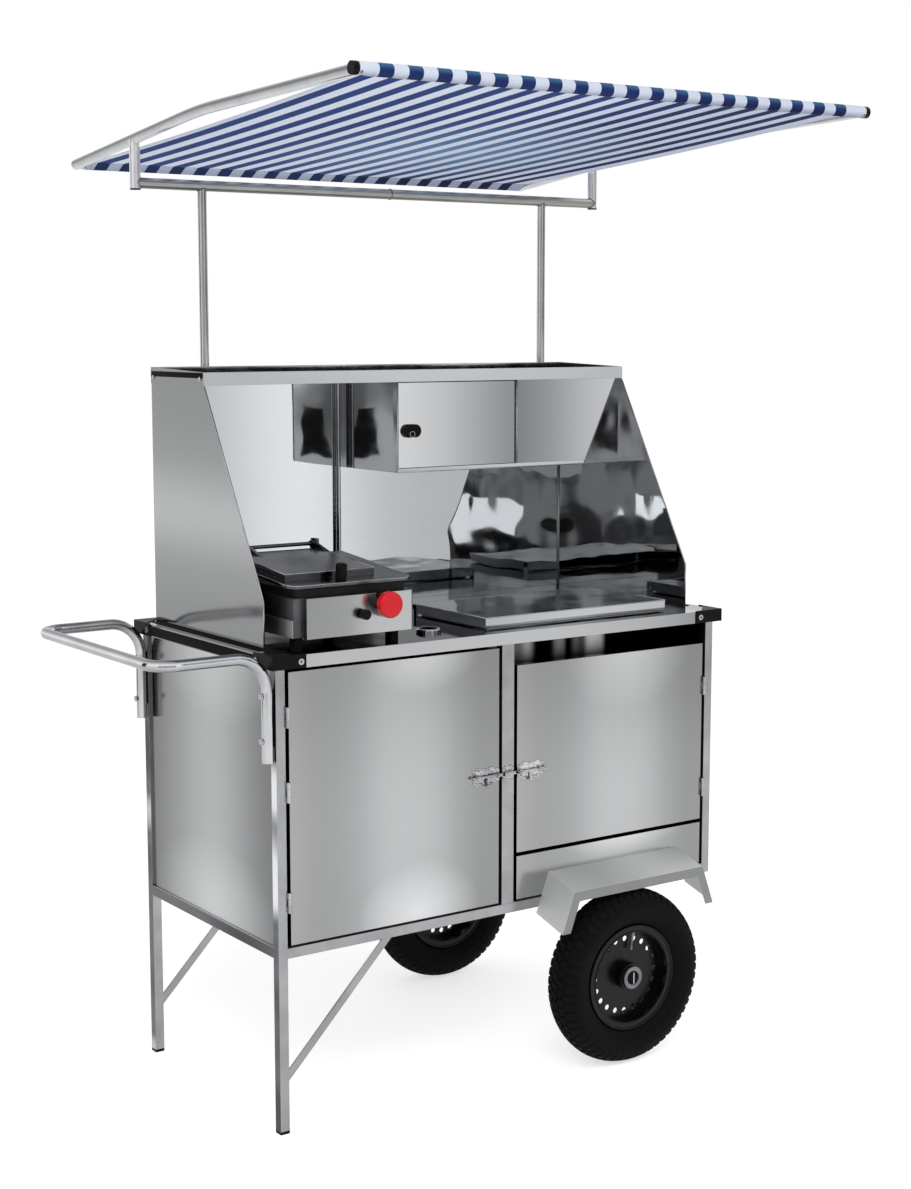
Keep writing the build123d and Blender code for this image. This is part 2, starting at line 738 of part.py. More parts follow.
def handle_parts():
    """The bent push handle with its rubber spacers and bolts."""
    front, back, foot = handle_front_y, handle_back_y, handle_foot_height
    knots = (
        (handle_x, front, foot),
        (handle_x, front, handle_height),
        (-handle_reach, front, handle_height),
        (-handle_reach, back, handle_height),
        (handle_x, back, handle_height),
        (handle_x, back, foot),
    )
    bends = [handle_bend, handle_corner, handle_corner, handle_bend]
    path = FilletPolyline(*knots, radius=bends)
    section = Circle(handle_radius) - Circle(handle_radius - tube_wall)
    handle = sweep((path ^ 0) * section, path)
    spacers = []
    bolts = []
    drill = handle_bolt_radius + bolt_hole_clearance
    half = handle_spacer_width / 2
    for y in (front, back):
        margin = handle_bolt_head + half
        low, high = min(handle_bolt_heights) - margin, max(handle_bolt_heights) + margin
        spacer = block(-handle_spacer, 0, y - half, y + half, low, high)
        for z in handle_bolt_heights:
            hole = rod((-frame_tube - handle_radius * 2, y, z), (frame_tube, y, z), drill)
            handle -= hole
            spacer -= hole
            seat = handle_x - handle_radius
            bolt = rod((seat - handle_bolt_head_height, y, z), (seat, y, z), handle_bolt_head)
            bolts.append(bolt + rod((seat, y, z), (frame_tube / 2, y, z), handle_bolt_radius))
        spacers.append(spacer)
    return {"push_handle": [handle], "handle_spacers": spacers, "handle_bolts": bolts}


def wheel_parts():
    """Tyres, rims, drop brackets with welded stub axles, nuts and fenders."""
    parts = {}
    seat = rim_seat_radius + tyre_clearance
    bead = rim_half_width - tyre_clearance
    shoulder = tyre_radius - tyre_shoulder_drop
    bulge = (rim_flange_radius + shoulder) / 2
    half_profile = (
        Line((seat, bead), (rim_flange_radius, bead)),
        ThreePointArc((rim_flange_radius, bead), (bulge, tyre_half_width), (shoulder, tyre_shoulder_half)),
        ThreePointArc((shoulder, tyre_shoulder_half), (tyre_radius, 0), (shoulder, -tyre_shoulder_half)),
        ThreePointArc((shoulder, -tyre_shoulder_half), (bulge, -tyre_half_width), (rim_flange_radius, -bead)),
        Line((rim_flange_radius, -bead), (seat, -bead)),
        Line((seat, -bead), (seat, bead)),
    )
    tyre = revolve(make_face(Curve() + list(half_profile)), Axis.Y)

    gauge = rim_gauge
    outer_flange = rim_half_width + gauge
    barrel = rod((0, -outer_flange, 0), (0, outer_flange, 0), rim_seat_radius)
    for side in (-1, 1):
        barrel += rod((0, side * rim_half_width, 0), (0, side * outer_flange, 0), rim_flange_radius)
    barrel -= rod((0, -outer_flange, 0), (0, outer_flange, 0), rim_seat_radius - gauge)
    disc = rod((0, -disc_offset, 0), (0, -disc_offset + gauge, 0), rim_seat_radius - gauge / 2)
    for index in range(vent_hole_count):
        turn = radians(360 * index / vent_hole_count)
        x, z = vent_circle_radius * cos(turn), vent_circle_radius * sin(turn)
        disc -= rod((x, -outer_flange, z), (x, outer_flange, z), vent_hole_radius)
    hub = rod((0, -hub_outer, 0), (0, hub_inner, 0), hub_radius)
    bore = rod((0, -hub_outer, 0), (0, hub_inner, 0), axle_radius + running_clearance)
    rim = barrel + disc + hub - bore

    nuts, brackets, fenders = [], [], []
    for name, out, face in (("front", -1, 0), ("rear", 1, cabinet_depth)):
        seat_on_axle = Pos(wheel_x, face + out * wheel_out, axle_z) * Rot(0, 0, 0 if out < 0 else 180)
        parts[name + "_tyre"] = [seat_on_axle * tyre]
        parts[name + "_rim"] = [seat_on_axle * rim]
        tip = face + out * (wheel_out + hub_outer + axle_nut_gap + axle_nut_thickness)
        root = face - out * frame_tube
        stub = rod((wheel_x, root, axle_z), (wheel_x, tip, axle_z), axle_radius)
        nut_seat = tip - out * axle_nut_thickness
        nut_foot, nut_face = (wheel_x, nut_seat, axle_z), (wheel_x, tip, axle_z)
        nut = rod(nut_foot, nut_face, axle_nut_radius)
        nuts.append(nut - rod(nut_foot, nut_face, axle_radius + running_clearance))
        half = frame_tube / 2
        y0, y1 = min(face, root), max(face, root)
        foot = axle_z - bracket_below_axle
        bracket = square_tube(wheel_x - half, wheel_x + half, y0, y1, foot, ground_clearance, "z")
        brackets.append(bracket + stub)
        fenders.append(fender(face, out))
    parts.update({"axle_nuts": nuts, "axle_brackets": brackets, "fenders": fenders})
    return parts


def fender(face, out):
    """A bent sheet mudguard that falls outwards: a top, two slanted ends and a lip along its outer edge."""
    lean = atan2(fender_top - fender_foot_height, fender_foot_half - fender_top_half)

    def outline(inset):
        top_half = fender_top_half + inset / sin(lean) * cos(lean) - inset / sin(lean)
        foot_half = fender_foot_half - inset / sin(lean)
        return (
            (fender_x - foot_half, fender_foot_height),
            (fender_x - top_half, fender_top - inset),
            (fender_x + top_half, fender_top - inset),
            (fender_x + foot_half, fender_foot_height),
        )

    def prism(inset, start, end):
        fall = fender_fall / fender_width
        flat = Plane(origin=(0, face + out * start, -start * fall), x_dir=(1, 0, 0), z_dir=(0, -1, 0))
        along = Vector(0, out * (end - start), -(end - start) * fall)
        face_of_prism = flat * make_face(Polyline(*outline(inset), close=True))
        return extrude(face_of_prism, along.length, dir=along.normalized())

    cover = prism(0, 0, fender_width) - prism(sheet, 0, fender_width - sheet)
    return cover - prism(fender_lip, fender_width - sheet, fender_width)


def basin_mouth():
    """Inner corners of the hot water basin in plan."""
    margin = basin_lid_margin + basin_flange
    return lid_left + margin, lid_right - margin, lid_front + margin, lid_back - margin - lid_axis_from_back


def basin_parts():
    """Basin, its lift-out pans, the lid with its brackets, the burner and the hose ring."""
    x0, x1, y0, y1 = basin_mouth()
    rim = worktop_height + sheet
    foot = worktop_height - basin_depth
    basin = open_box(x0 - sheet, x1 + sheet, y0 - sheet, y1 + sheet, foot, rim, "top")
    wide = basin_flange
    flange = block(x0 - wide, x1 + wide, y0 - wide, y1 + wide, worktop_height, rim)
    basin += flange - block(x0, x1, y0, y1, worktop_height, rim)

    pans = []
    width = (x1 - x0) / pan_count
    for index in range(pan_count):
        left = x0 + index * width
        pan = open_box(
            left + pan_flange, left + width - pan_flange,
            y0 + pan_flange, y1 - pan_flange, rim + sheet - pan_depth, rim + sheet, "top",
        )
        brim_x0 = left - pan_flange if index == 0 else left + pan_gap / 2
        brim_x1 = left + width + pan_flange if index == pan_count - 1 else left + width - pan_gap / 2
        brim = block(brim_x0, brim_x1, y0 - pan_flange, y1 + pan_flange, rim, rim + sheet)
        inside = sheet + pan_flange
        brim -= block(left + inside, left + width - inside, y0 + inside, y1 - inside, rim, rim + sheet)
        pans.append(pan + brim)

    lid = open_box(lid_left, lid_right, lid_front, lid_back, lid_foot, lid_foot + lid_height, "bottom")
    brackets = []
    hole = lid_pin_radius + running_clearance
    for edge, out in ((lid_left, -1), (lid_right, 1)):
        face = edge + out * lid_bracket_gap
        far = face + out * lid_bracket
        ear_y0, ear_y1 = lid_axis_y - lid_bracket_depth / 2, lid_axis_y + lid_bracket_depth / 2
        ear_top = lid_axis_z + lid_bracket_depth / 2
        ear = block(min(face, far), max(face, far), ear_y0, ear_y1, worktop_height, ear_top)
        pin_root, pin_tip = edge + out * (lid_bracket_gap + lid_bracket), edge - out * lid_pin_engage
        ear += rod((pin_root, lid_axis_y, lid_axis_z), (pin_tip, lid_axis_y, lid_axis_z), lid_pin_radius)
        brackets.append(ear)
        hole_end = pin_tip - out * lid_pin_engage
        lid -= rod((pin_root, lid_axis_y, lid_axis_z), (hole_end, lid_axis_y, lid_axis_z), hole)

    mid_x, mid_y = (x0 + x1) / 2, (y0 + y1) / 2
    burner_z = foot - burner_below_basin
    half = burner_length / 2
    burner = rod((mid_x - half, mid_y, burner_z), (mid_x + half, mid_y, burner_z), burner_radius)
    inlet_y = frame_tube + door_depth
    burner += rod((mid_x, mid_y, burner_z), (mid_x, inlet_y, burner_z), burner_radius / 2)
    hanger_y0, hanger_y1 = mid_y - burner_hanger_width / 2, mid_y + burner_hanger_width / 2
    for x in (mid_x - half, mid_x + half - burner_hanger):
        burner += block(x, x + burner_hanger, hanger_y0, hanger_y1, burner_z, foot)

    ring_foot, ring_top = worktop_height, worktop_height + ring_height
    collar = ring_bore_radius + ring_collar
    ring = rod((ring_x, ring_y, ring_foot), (ring_x, ring_y, ring_top), ring_radius)
    ring = fillet(ring.edges().group_by(Axis.Z)[-1], ring_height / 3)
    ring += rod((ring_x, ring_y, skirt_foot), (ring_x, ring_y, ring_foot), collar)
    ring -= rod((ring_x, ring_y, skirt_foot), (ring_x, ring_y, ring_top), ring_bore_radius)
    return {
        "basin": [basin],
        "food_pans": pans,
        "basin_lid": [lid],
        "lid_brackets": brackets,
        "basin_burner": [burner],
        "hose_ring": [ring],
    }


def press_parts():
    """Gas sandwich press: cased base with its burner, hot plate, hinged lid, knobs and feet."""
    base = block(press_left, press_right, press_front, press_back, press_floor, press_top)
    w = press_wall
    inner_x0, inner_x1 = press_left + w, press_right - w
    base -= block(inner_x0, inner_x1, press_front + w, press_back - w, press_floor + w, press_top - w)
    vent_x, vent_y = press_foot_width + 2 * press_foot_right_inset, press_foot_length + 3 * press_foot_inset
    base -= block(
        press_left + vent_x, press_right - vent_x, press_front + vent_y, press_back - vent_y,
        press_floor, press_floor + w,
    )
    panel_x0, panel_x1 = press_left + press_panel_left, press_right - press_panel_right
    panel_foot = press_floor - press_panel_drop
    base += block(panel_x0, panel_x1, press_panel_front, press_front, panel_foot, press_top)
    skirt_top = press_floor + press_skirt_height
    for x0, x1 in ((press_left - press_skirt_proud, press_left), (press_right, press_right + press_skirt_proud)):
        base += block(x0, x1, press_front, press_back, press_floor, skirt_top)
    gas_x, gas_z = panel_x1 - gas_knob_from_right, press_floor + gas_knob_height
    button_x, button_z = gas_x - igniter_from_gas_knob, gas_z - igniter_below_gas_knob
    behind = press_front + w
    hole = gas_spindle_radius + running_clearance
    base -= rod((gas_x, press_panel_front, gas_z), (gas_x, behind, gas_z), hole)
    hole = igniter_stem_radius + running_clearance
    base -= rod((button_x, press_panel_front, button_z), (button_x, behind, button_z), hole)
    axis_y, axis_z = press_back + press_axis_behind, press_top + press_axis_height
    lug_xs = (press_left + press_lug_offset, press_right - press_lug_offset - press_lug)
    lug_top = axis_z + press_lug_width / 2
    for x in lug_xs:
        lug_foot = press_top - press_lug_below_top
        base += block(x, x + press_lug, press_back, press_back + press_lug_width, lug_foot, lug_top)
    base += rod((lug_xs[0], axis_y, axis_z), (lug_xs[1] + press_lug, axis_y, axis_z), press_pin_radius)

    mid_x, mid_y = (press_left + press_right) / 2, (press_front + press_back) / 2
    burner_z = (press_floor + press_top) / 2
    ring_reach, pipe_radius = press_depth / 4, burner_radius / 2
    ring = Pos(mid_x, mid_y, burner_z) * Torus(ring_reach, pipe_radius)
    feed = rod((mid_x, mid_y + ring_reach, burner_z), (mid_x, press_back - w, burner_z), pipe_radius)

    margin = hot_plate_margin
    hot_plate = block(
        press_left + margin, press_right - margin, press_front + margin, press_back - margin,
        press_top, press_top + hot_plate_height,
    )

    # The lid is drawn level, then tilted about its hinge until its front edge comes down to the hot plate.
    over = press_lid_overhang
    tilt = radians(press_lid_tilt)
    rest_z = press_top + hot_plate_height + press_gap
    lid_low = axis_z + (rest_z - axis_z + (axis_y - press_front) * sin(tilt)) / cos(tilt)
    lid_high = lid_low + press_lid_plate
    lid_end = press_back - press_lid_back_gap
    lid = block(press_left - over, press_right + over, press_front, lid_end, lid_low, lid_high)
    front_corners = lid.edges().filter_by(Axis.Z).group_by(Axis.Y)[0]
    lid = fillet(front_corners, press_lid_corner)
    weight_x0 = press_left + press_weight_left
    weight_y0 = press_front + press_weight_front
    lid += block(
        weight_x0, weight_x0 + press_weight_width, weight_y0, weight_y0 + press_weight_depth,
        lid_high, lid_high + press_weight_height,
    )
    eye_radius = press_lug_width / 3
    arm_hole = press_pin_radius + running_clearance
    arm_front = press_back - press_arm_length
    arm_profile = (
        (arm_front, lid_high),
        (axis_y, lid_high),
        (axis_y, axis_z + eye_radius),
        (axis_y - eye_radius, axis_z + eye_radius),
        (arm_front, lid_high + press_weight_height),
    )
    for x in lug_xs:
        beside = x + press_lug + knuckle_gap if x == lug_xs[0] else x - knuckle_gap - press_lug
        arm = plate(arm_profile, Plane.YZ.offset(beside), press_lug)
        arm += rod((beside, axis_y, axis_z), (beside + press_lug, axis_y, axis_z), eye_radius)
        arm -= rod((beside, axis_y, axis_z), (beside + press_lug, axis_y, axis_z), arm_hole)
        lid += arm
    knob_x, knob_y = press_left + press_knob_from_left, press_front + press_knob_from_front
    knob = rod((knob_x, knob_y, lid_high), (knob_x, knob_y, lid_high + press_knob_height), press_knob_radius)
    knob = fillet(knob.edges().group_by(Axis.Z)[-1], press_knob_radius / 3)
    swing = Pos(0, axis_y, axis_z) * Rot(press_lid_tilt, 0, 0) * Pos(0, -axis_y, -axis_z)

    face = press_panel_front - running_clearance * 5
    gas_knob = rod((gas_x, face, gas_z), (gas_x, face - gas_knob_length, gas_z), gas_knob_radius)
    gas_knob = fillet(gas_knob.edges().group_by(Axis.Y)[0], gas_knob_length / 6)
    gas_knob += rod((gas_x, face, gas_z), (gas_x, behind, gas_z), gas_spindle_radius)
    front = press_panel_front - igniter_gap
    button = rod((button_x, front, button_z), (button_x, front - igniter_length, button_z), igniter_radius)
    button = fillet(button.edges().group_by(Axis.Y)[0], igniter_length / 6)
    button += rod((button_x, front, button_z), (button_x, behind, button_z), igniter_stem_radius)

    feet = []
    for x in (press_left + press_foot_inset, press_right - press_foot_right_inset - press_foot_width):
        for y in (press_front + press_foot_inset, press_back - press_foot_inset - press_foot_length):
            foot = block(x, x + press_foot_width, y, y + press_foot_length, worktop_height, press_floor)
            feet.append(chamfer(foot.edges().filter_by(Axis.Z), press_foot_width / 8))
    return {
        "press_body": [base],
        "press_burner": [ring + feed],
        "press_hot_plate": [hot_plate],
        "press_lid": [swing * lid],
        "press_lid_knob": [swing * knob],
        "gas_knob": [gas_knob],
        "igniter_button": [button],
        "press_feet": feet,
    }


def build():
    """Every node of the cart, by name."""
    nodes = {}
    for group in (
        frame_parts, cabinet_panels, corner_parts, hood_parts, door_parts,
        canopy_parts, handle_parts, wheel_parts, basin_parts, press_parts,
    ):
        nodes.update(group())
    return nodes


os.makedirs("parts", exist_ok=True)
to_origin = Pos(-origin_x, -origin_y, 0)
for node, solids in build().items():
    pieces = [to_origin * solid for shape in solids for solid in shape.solids()]
    shape = pieces[0] if len(pieces) == 1 else Compound(children=pieces)
    export_step(shape, f"parts/{node}.step")
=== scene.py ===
import math

import bmesh
import bpy
import numpy as np
from mathutils import Matrix, Vector


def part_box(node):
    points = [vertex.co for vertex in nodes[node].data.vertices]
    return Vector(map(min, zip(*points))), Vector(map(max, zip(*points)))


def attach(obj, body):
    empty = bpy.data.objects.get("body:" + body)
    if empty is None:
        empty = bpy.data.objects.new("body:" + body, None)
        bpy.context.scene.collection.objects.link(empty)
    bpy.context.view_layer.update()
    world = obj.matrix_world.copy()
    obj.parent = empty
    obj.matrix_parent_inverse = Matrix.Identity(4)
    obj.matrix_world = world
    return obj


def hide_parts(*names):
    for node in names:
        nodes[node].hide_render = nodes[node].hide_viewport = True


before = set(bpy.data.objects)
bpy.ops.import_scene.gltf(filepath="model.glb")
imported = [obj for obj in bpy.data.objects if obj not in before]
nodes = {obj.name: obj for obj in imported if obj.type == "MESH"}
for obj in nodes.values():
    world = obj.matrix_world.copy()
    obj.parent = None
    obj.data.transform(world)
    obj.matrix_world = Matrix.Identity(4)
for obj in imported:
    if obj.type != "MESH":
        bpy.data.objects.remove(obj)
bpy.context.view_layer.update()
scene = bpy.context.scene

MM = 0.001
# Sizes below are millimetres from the cabinet frame's left face, its front face and the floor.
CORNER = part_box("uprights")[0]


def at(x, y, z):
    """A place in millimetres as a point in metres in the part's frame."""
    return Vector((CORNER.x + x * MM, CORNER.y + y * MM, z * MM))


def per_metre(size_mm):
    """The texture scale whose features are about this many millimetres apart."""
    return 1000.0 / size_mm


def srgb(code):
    """A hex colour as linear red, green, blue and alpha."""
    parts = [int(code[i:i + 2], 16) / 255 for i in (1, 3, 5)]
    return [c / 12.92 if c <= 0.04045 else ((c + 0.055) / 1.055) ** 2.4 for c in parts] + [1.0]


# Materials


def wire(tree, node, inputs):
    """Set a node's inputs: a socket is linked, anything else is a value."""
    for name, value in inputs.items():
        if isinstance(value, bpy.types.NodeSocket):
            tree.links.new(value, node.inputs[name])
        else:
            node.inputs[name].default_value = value


def add(tree, kind, inputs=None, stops=None, out=0, **settings):
    """Add one shader node and give back one of its outputs, or all of them where out is None.

    The settings are the node's own, the inputs are values or links, and the stops are a ramp's colours.
    """
    node = tree.nodes.new("ShaderNode" + kind)
    for name, value in settings.items():
        setattr(node, name, value)
    wire(tree, node, inputs or {})
    if stops:
        band = node.color_ramp
        band.interpolation = "CARDINAL"
        while len(band.elements) < len(stops):
            band.elements.new(0.5)
        for element, (place, code) in zip(band.elements, stops):
            element.position = place
            element.color = srgb(code)
    return node.outputs if out is None else node.outputs[out]


def new_material(name):
    """An empty node material with its tree, its shader and the texture coordinates."""
    material = bpy.data.materials.new(name)
    material.use_nodes = True
    tree = material.node_tree
    return material, tree, tree.nodes["Principled BSDF"], add(tree, "TexCoord", out=None)


# A mix of two colours, not of two numbers, and the output that gives it.
COLOURS = {"data_type": "RGBA", "out": 2}
SHEET_EDGE = 1.2 * MM
FITTING_EDGE = 0.6 * MM
MOULDED_EDGE = 0.8 * MM
KNOB_EDGE = 2.5 * MM


def round_patch(tree, axes, middles, reaches, falloff="SPHERICAL"):
    """1 in the middle of a soft round patch and 0 at its edge, measured along two axes."""
    offsets = []
    for axis, middle, reach in zip(axes, middles, reaches):
        limits = {"Value": axis, "From Min": middle, "From Max": middle + reach}
        offsets.append(add(tree, "MapRange", limits, clamp=False))
    place = add(tree, "CombineXYZ", {"X": offsets[0], "Y": offsets[1]})
    return add(tree, "TexGradient", {"Vector": place}, out="Fac", gradient_type=falloff)


def within(tree, *limits):
    """1 where each value lies on the stated side of its limit, and 0 elsewhere."""
    inside = None
    for value, side, limit in limits:
        held = add(tree, "Math", {0: value, 1: limit}, operation=side)
        inside = held if inside is None else add(tree, "Math", {0: inside, 1: held}, operation="MULTIPLY")
    return inside


def relief(tree, coords, size_mm, detail, depth_mm, **onto):
    """A surface raised and sunk by soft lumps of this size and depth."""
    lumps = add(tree, "TexNoise", {"Vector": coords["Object"], "Scale": per_metre(size_mm), "Detail": detail})
    return add(tree, "Bump", {"Height": lumps, "Distance": depth_mm * MM, **onto})


def ground_stainless(name, axis, glow, spots, smooth, rough, dark_returns=False):
    """Stainless sheet ground on a fine belt.

    It has a painted sheen, a broad soft band painted lighter across each sheet, and painted highlights,
    brighter spots at its head and foot; it has a faint hairline grain and blurred reflections. The folded
    returns of a door lie in its own shadow gap and are painted black as painted shade.
    """
    material, tree, shader, coords = new_material(name)
    spread = add(tree, "SeparateXYZ", {"Vector": coords["Generated"]}, out=None)
    # Painted sheen: a broad band painted lighter across the sheet.
    base = add(tree, "ValToRGB", {"Fac": spread[axis]}, stops=glow)
    for middle, reach, strength in spots:
        # Painted highlight: each spot is painted nearly white.
        spot = round_patch(tree, (spread[axis], spread["Z"]), middle, reach)
        soft = add(tree, "Math", {0: spot, 1: strength}, operation="MULTIPLY")
        base = add(tree, "Mix", {0: soft, 6: base, 7: srgb("#e6e7e8")}, **COLOURS)
    if dark_returns:
        # Painted shade: the door's folded returns, in its shadow gap, are painted black.
        facing = add(tree, "SeparateXYZ", {"Vector": coords["Normal"]}, out="Y")
        outward = add(tree, "Math", {0: facing}, operation="ABSOLUTE")
        flat = add(tree, "MapRange", {"Value": outward, "From Min": 0.3, "From Max": 0.7})
        base = add(tree, "Mix", {0: flat, 6: srgb("#060606"), 7: base}, **COLOURS)
    # The belt's hairlines are under 0.1 mm, drawn at 1.6 mm so that they show.
    hairs = (per_metre(90), per_metre(90), per_metre(1.6))
    place = add(tree, "Mapping", {"Vector": coords["Object"], "Scale": hairs})
    grain = add(tree, "TexNoise", {"Vector": place, "Scale": 1.0, "Detail": 2.0})
    gloss = add(tree, "MapRange", {"Value": grain, "To Min": smooth, "To Max": rough})
    edge = add(tree, "Bevel", {"Radius": SHEET_EDGE}, samples=4)
    bent = relief(tree, coords, 260, 1.0, 0.8, Normal=edge)
    hair = add(tree, "Bump", {"Height": grain, "Distance": 0.01 * MM, "Strength": 0.2, "Normal": bent})
    wire(tree, shader, {"Base Color": base, "Metallic": 1.0, "Roughness": gloss, "Normal": hair})
    return material


def buffed_stainless(name, tone, smooth, smeared, wave_size, wave_depth, painted_dark_end=False, painted_shade_top=None,
                     ground_ends=False):
    """Stainless sheet buffed to a mirror.

    It gives sharp reflections bent by waves in the thin sheet, with faint wipe marks. Its tone along the
    sheet is painted light and shade. A dark end is a painted dark reflection: the faces that the worktop and
    the tray turn to the left are painted greyer. A top of another tone is painted shade: the worktop's upward
    faces are painted darker over its left part, round the press, and at its right end. Ground ends are left
    rough from the belt.
    """
    material, tree, shader, coords = new_material(name)
    along = add(tree, "SeparateXYZ", {"Vector": coords["Generated"]}, out="X")
    # Painted light and shade: the sheet's tone along it stands for its blurred reflections.
    base = add(tree, "ValToRGB", {"Fac": along}, stops=tone)
    facing = add(tree, "SeparateXYZ", {"Vector": coords["Normal"]}, out=None)
    if painted_dark_end:
        # Painted dark reflection: faces turned to the left are painted greyer.
        end = add(tree, "MapRange", {
            "Value": facing["X"], "From Min": -0.8, "From Max": -0.5, "To Min": 1.0, "To Max": 0.0,
        })
        base = add(tree, "Mix", {0: end, 6: base, 7: srgb("#8f9091")}, **COLOURS)
    if painted_shade_top:
        # Painted shade: faces turned up take the darker top tone.
        top = add(tree, "MapRange", {"Value": facing["Z"], "From Min": 0.6, "From Max": 0.9})
        dulled = add(tree, "ValToRGB", {"Fac": along}, stops=painted_shade_top)
        base = add(tree, "Mix", {0: top, 6: base, 7: dulled}, **COLOURS)
    wipes = add(tree, "TexNoise", {"Vector": coords["Object"], "Scale": per_metre(40), "Detail": 5.0})
    gloss = add(tree, "MapRange", {
        "Value": wipes, "From Min": 0.35, "From Max": 0.75, "To Min": smooth, "To Max": smeared,
    })
    if ground_ends:
        sideways = add(tree, "Math", {0: facing["X"]}, operation="ABSOLUTE")
        gloss = add(tree, "Math", {0: sideways, 1: 0.5, 2: gloss}, operation="MULTIPLY_ADD")
    edge = add(tree, "Bevel", {"Radius": SHEET_EDGE}, samples=4)
    bent = relief(tree, coords, wave_size, 1.0, wave_depth, Normal=edge)
    wire(tree, shader, {"Base Color": base, "Metallic": 1.0, "Roughness": gloss, "Normal": bent})
    return material


HOOD_PAINTED_SHEEN = [(0.0, "#8c8d8e"), (0.3, "#a0a1a2"), (0.48, "#babbbc"), (0.7, "#9e9fa0"), (1.0, "#8f9091")]


def hood_stainless():
    """The hood's two end sheets.

    The left one is ground and painted lighter half-way up, a painted sheen. The right one is buffed like the
    hood's back, so its inner face mirrors the hood in long bent streaks.
    """
    material, tree, shader, coords = new_material("ground_and_buffed_hood_stainless")
    spread = add(tree, "SeparateXYZ", {"Vector": coords["Generated"]}, out=None)
    # Painted sheen: the left sheet is painted lighter half-way up.
    glow = add(tree, "ValToRGB", {"Fac": spread["Z"]}, stops=HOOD_PAINTED_SHEEN)
    right = add(tree, "Math", {0: spread["X"], 1: 0.5}, operation="GREATER_THAN")
    base = add(tree, "Mix", {0: right, 6: glow, 7: srgb("#b9bbbd")}, **COLOURS)
    gloss = add(tree, "MapRange", {"Value": right, "To Min": 0.11, "To Max": 0.02})
    edge = add(tree, "Bevel", {"Radius": SHEET_EDGE}, samples=4)
    waves = add(tree, "TexNoise", {"Vector": coords["Object"], "Scale": per_metre(130), "Detail": 1.0})
    depth = add(tree, "MapRange", {"Value": right, "To Min": 0.4 * MM, "To Max": 1.3 * MM})
    bent = add(tree, "Bump", {"Height": waves, "Distance": depth, "Normal": edge})
    wire(tree, shader, {"Base Color": base, "Metallic": 1.0, "Roughness": gloss, "Normal": bent})
    return material


TUBE_FRONT_TONE = [(0.3, "#939496"), (0.7, "#a6a7a9")]
TUBE_END_PAINTED_REFLECTIONS = [(0.34, "#3e3f41"), (0.46, "#626365"), (0.56, "#7c7d7f"), (0.66, "#e6e7e8")]


def polished_square_tube():
    """Square stainless tube, polished lengthwise: even front faces, ends in patches of painted reflection."""
    material, tree, shader, coords = new_material("polished_square_tube")
    facing = add(tree, "SeparateXYZ", {"Vector": coords["Normal"]}, out="X")
    sideways = add(tree, "Math", {0: facing}, operation="ABSOLUTE")
    cloud = add(tree, "TexNoise", {"Vector": coords["Object"], "Scale": per_metre(70), "Detail": 3.0})
    front = add(tree, "ValToRGB", {"Fac": cloud}, stops=TUBE_FRONT_TONE)
    # Painted reflection: the end faces are painted in long bright and dark patches.
    long_patches = (per_metre(400), per_metre(400), per_metre(170))
    patch_place = add(tree, "Mapping", {"Vector": coords["Object"], "Scale": long_patches})
    patch = add(tree, "TexNoise", {"Vector": patch_place, "Scale": 1.0, "Detail": 1.0})
    end = add(tree, "ValToRGB", {"Fac": patch}, stops=TUBE_END_PAINTED_REFLECTIONS)
    base = add(tree, "Mix", {0: sideways, 6: front, 7: end}, **COLOURS)
    # Polishing lines run along the tube; 0.1 mm lines are drawn at 1.2 mm so that they show.
    lines = (per_metre(1.2), per_metre(1.2), per_metre(60))
    place = add(tree, "Mapping", {"Vector": coords["Object"], "Scale": lines})
    grain = add(tree, "TexNoise", {"Vector": place, "Scale": 1.0, "Detail": 2.0})
    gloss = add(tree, "MapRange", {"Value": grain, "To Min": 0.14, "To Max": 0.24})
    edge = add(tree, "Bevel", {"Radius": SHEET_EDGE}, samples=4)
    marks = add(tree, "Bump", {"Height": grain, "Distance": 0.01 * MM, "Strength": 0.3, "Normal": edge})
    wire(tree, shader, {"Base Color": base, "Metallic": 1.0, "Roughness": gloss, "Normal": marks})
    return material


def polished_round_tube(name, tones, smooth=0.06, rough=0.14):
    """Round stainless tube, drawn and buffed: painted light and shade in bands along it, faint drawing marks.
    """
    material, tree, shader, coords = new_material(name)
    # Painted light and shade: the colour is set by which way each face turns, from below up.
    facing = add(tree, "SeparateXYZ", {"Vector": coords["Normal"]}, out="Z")
    upward = add(tree, "MapRange", {"Value": facing, "From Min": -1.0, "From Max": 1.0})
    tone = add(tree, "ValToRGB", {"Fac": upward}, stops=tones)
    cloud = add(tree, "TexNoise", {"Vector": coords["Object"], "Scale": per_metre(60), "Detail": 3.0})
    uneven = add(tree, "ValToRGB", {"Fac": cloud}, stops=[(0.3, "#ececec"), (0.7, "#ffffff")])
    base = add(tree, "Mix", {0: 1.0, 6: tone, 7: uneven}, blend_type="MULTIPLY", **COLOURS)
    gloss = add(tree, "MapRange", {"Value": cloud, "To Min": smooth, "To Max": rough})
    wear_and_glare = relief(tree, coords, 0.9, 2.0, 0.006, Strength=0.3)
    wire(tree, shader, {"Base Color": base, "Metallic": 1.0, "Roughness": gloss, "Normal": wear_and_glare})
    return material


FENDER_PAINTED_SHEEN = [(0.0, "#f2f3f3"), (0.3, "#dfe0e0"), (0.66, "#f4f5f5"), (1.0, "#dcdddd")]


